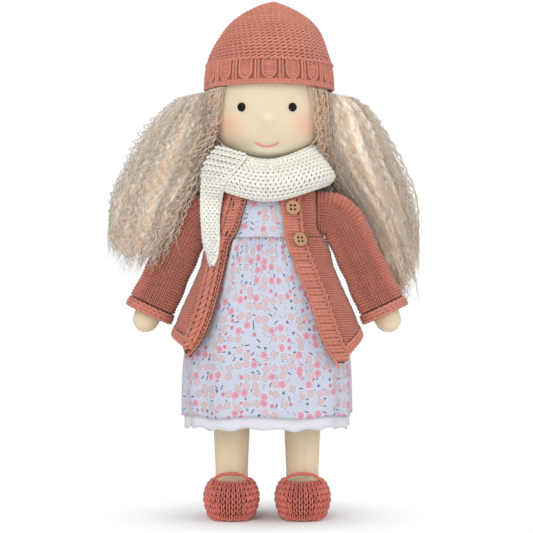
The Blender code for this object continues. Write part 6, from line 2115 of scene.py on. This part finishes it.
# %% [markdown]
# ## Back hair and wig cap
# At the back the hair hangs straight from the hat, behind the scarf. Over the wig cap it is combed from the
# crown down to the hat's rim, where the bunches start, so the doll looks finished when its hat comes off.

# %% Back hair
BACK_HALF_WIDTH = ((0.335, 0.040), (0.311, 0.045), (0.285, 0.054), (0.262, 0.060), (0.240, 0.052), (0.205, 0.040))
BACK_DEPTH = ((0.335, 0.0445), (0.311, 0.0470), (0.285, 0.0470), (0.258, 0.0450), (0.230, 0.0430), (0.205, 0.0400))
count = 270
spot, lock = scattered_locks(count, 54, 0.14)
z_end = 0.2110 + rng.uniform(-0.004, 0.010, count) + 0.006 * np.abs(spot[:, 0]) ** 2
z = HAT_TUCK + (z_end - HAT_TUCK)[:, None] * np.linspace(0, 1, 64)[None]
x = eased(z, BACK_HALF_WIDTH, 1, 0.004) * spot[:, :1]
curve = np.sqrt(np.clip(1 - (0.80 * spot[:, :1]) ** 2, 0, 1))
y = eased(z, BACK_DEPTH, 1, 0.004) * curve + 0.0055 * spot[:, 1:] + 0.004
paths = np.stack([x, y, z], axis=-1)
for side in (1, -1):
    half = side * spot[:, 0] >= 0
    paths[half] = smoothed(pushed_out(side, paths[half], 0.0010), 8)
paths = crimped(paths, lock, 54, 0.00110, 0.0060, 0.0115)
for side in (1, -1):
    half = side * spot[:, 0] >= 0
    paths[half] = tucked(pushed_out(side, paths[half], 0.0004))
under = np.linspace(-0.86, 0.86, 33)[None]
z = np.linspace(HAT_TUCK, 0.2170, 40)[:, None]
grid = []
for thick in (0.0010, 0.0022):
    reach = eased(z, BACK_DEPTH, 1, 0.004) * np.sqrt(1 - (0.80 * under) ** 2)
    sheet = np.stack([eased(z, BACK_HALF_WIDTH, 1, 0.004) * under, reach, np.broadcast_to(z, reach.shape)], axis=-1)
    grid.append(tucked(pushed_out(1, sheet, thick)))
index = np.arange(40 * 33).reshape(40, 33)
quads = grid_faces(index)
rim = np.concatenate([index[0, :-1], index[:-1, -1], index[-1, :0:-1], index[:0:-1, 0]])
edge = np.stack([rim, np.roll(rim, -1), np.roll(rim, -1) + index.size, rim + index.size], axis=-1)
flat = np.concatenate([grid[0].reshape(-1, 3), grid[1].reshape(-1, 3)])
# The sheet under the back strands takes a low tone: a painted shade behind them.
ground = (flat, [quads[:, ::-1], quads + index.size, edge], flat[:, :2] * 20, np.full(len(flat), 0.30))
back_hair = piece("back_hair_locks", [ground, lock_tube(paths, rng.uniform(0.00032, 0.00062, count), hair_tone_and_inner_shade(spot))],
                  mohair)
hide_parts("hair_back")
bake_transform(back_hair)

# %% Hair over the wig cap
repaint(cap_mohair, "wig_cap")
WIG_CAP_THICKNESS = 0.0020
count = 340
turn = np.concatenate([np.linspace(0, 360, 280, endpoint=False), rng.uniform(0, 360, 60)])
turn = np.radians(turn + rng.uniform(-1, 1, count))
rise = np.sin(np.linspace(math.radians(86), math.radians(14), 40))[None]
level = HEAD_MIDDLE + rise * (CROWN_RISE - 0.0004)
radius = head_radius(level) + WIG_CAP_THICKNESS * np.clip((HEAD_MIDDLE + CROWN_RISE - level) / 0.004, 0, 1)
turn = turn[:, None] + 0.05 * np.sin(level / 0.007 + 9 * turn[:, None])
combed = np.stack([radius * np.sin(turn), -radius * np.cos(turn), np.broadcast_to(level, turn.shape)], axis=-1)
combed[..., 2] += WIG_CAP_THICKNESS * rise ** 4
crown_hair = piece("crown_hair_locks", [lock_tube(combed, rng.uniform(0.00045, 0.00070, count),
                                                  rng.uniform(0.35, 1.0, count))], mohair)
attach(crown_hair, "head")
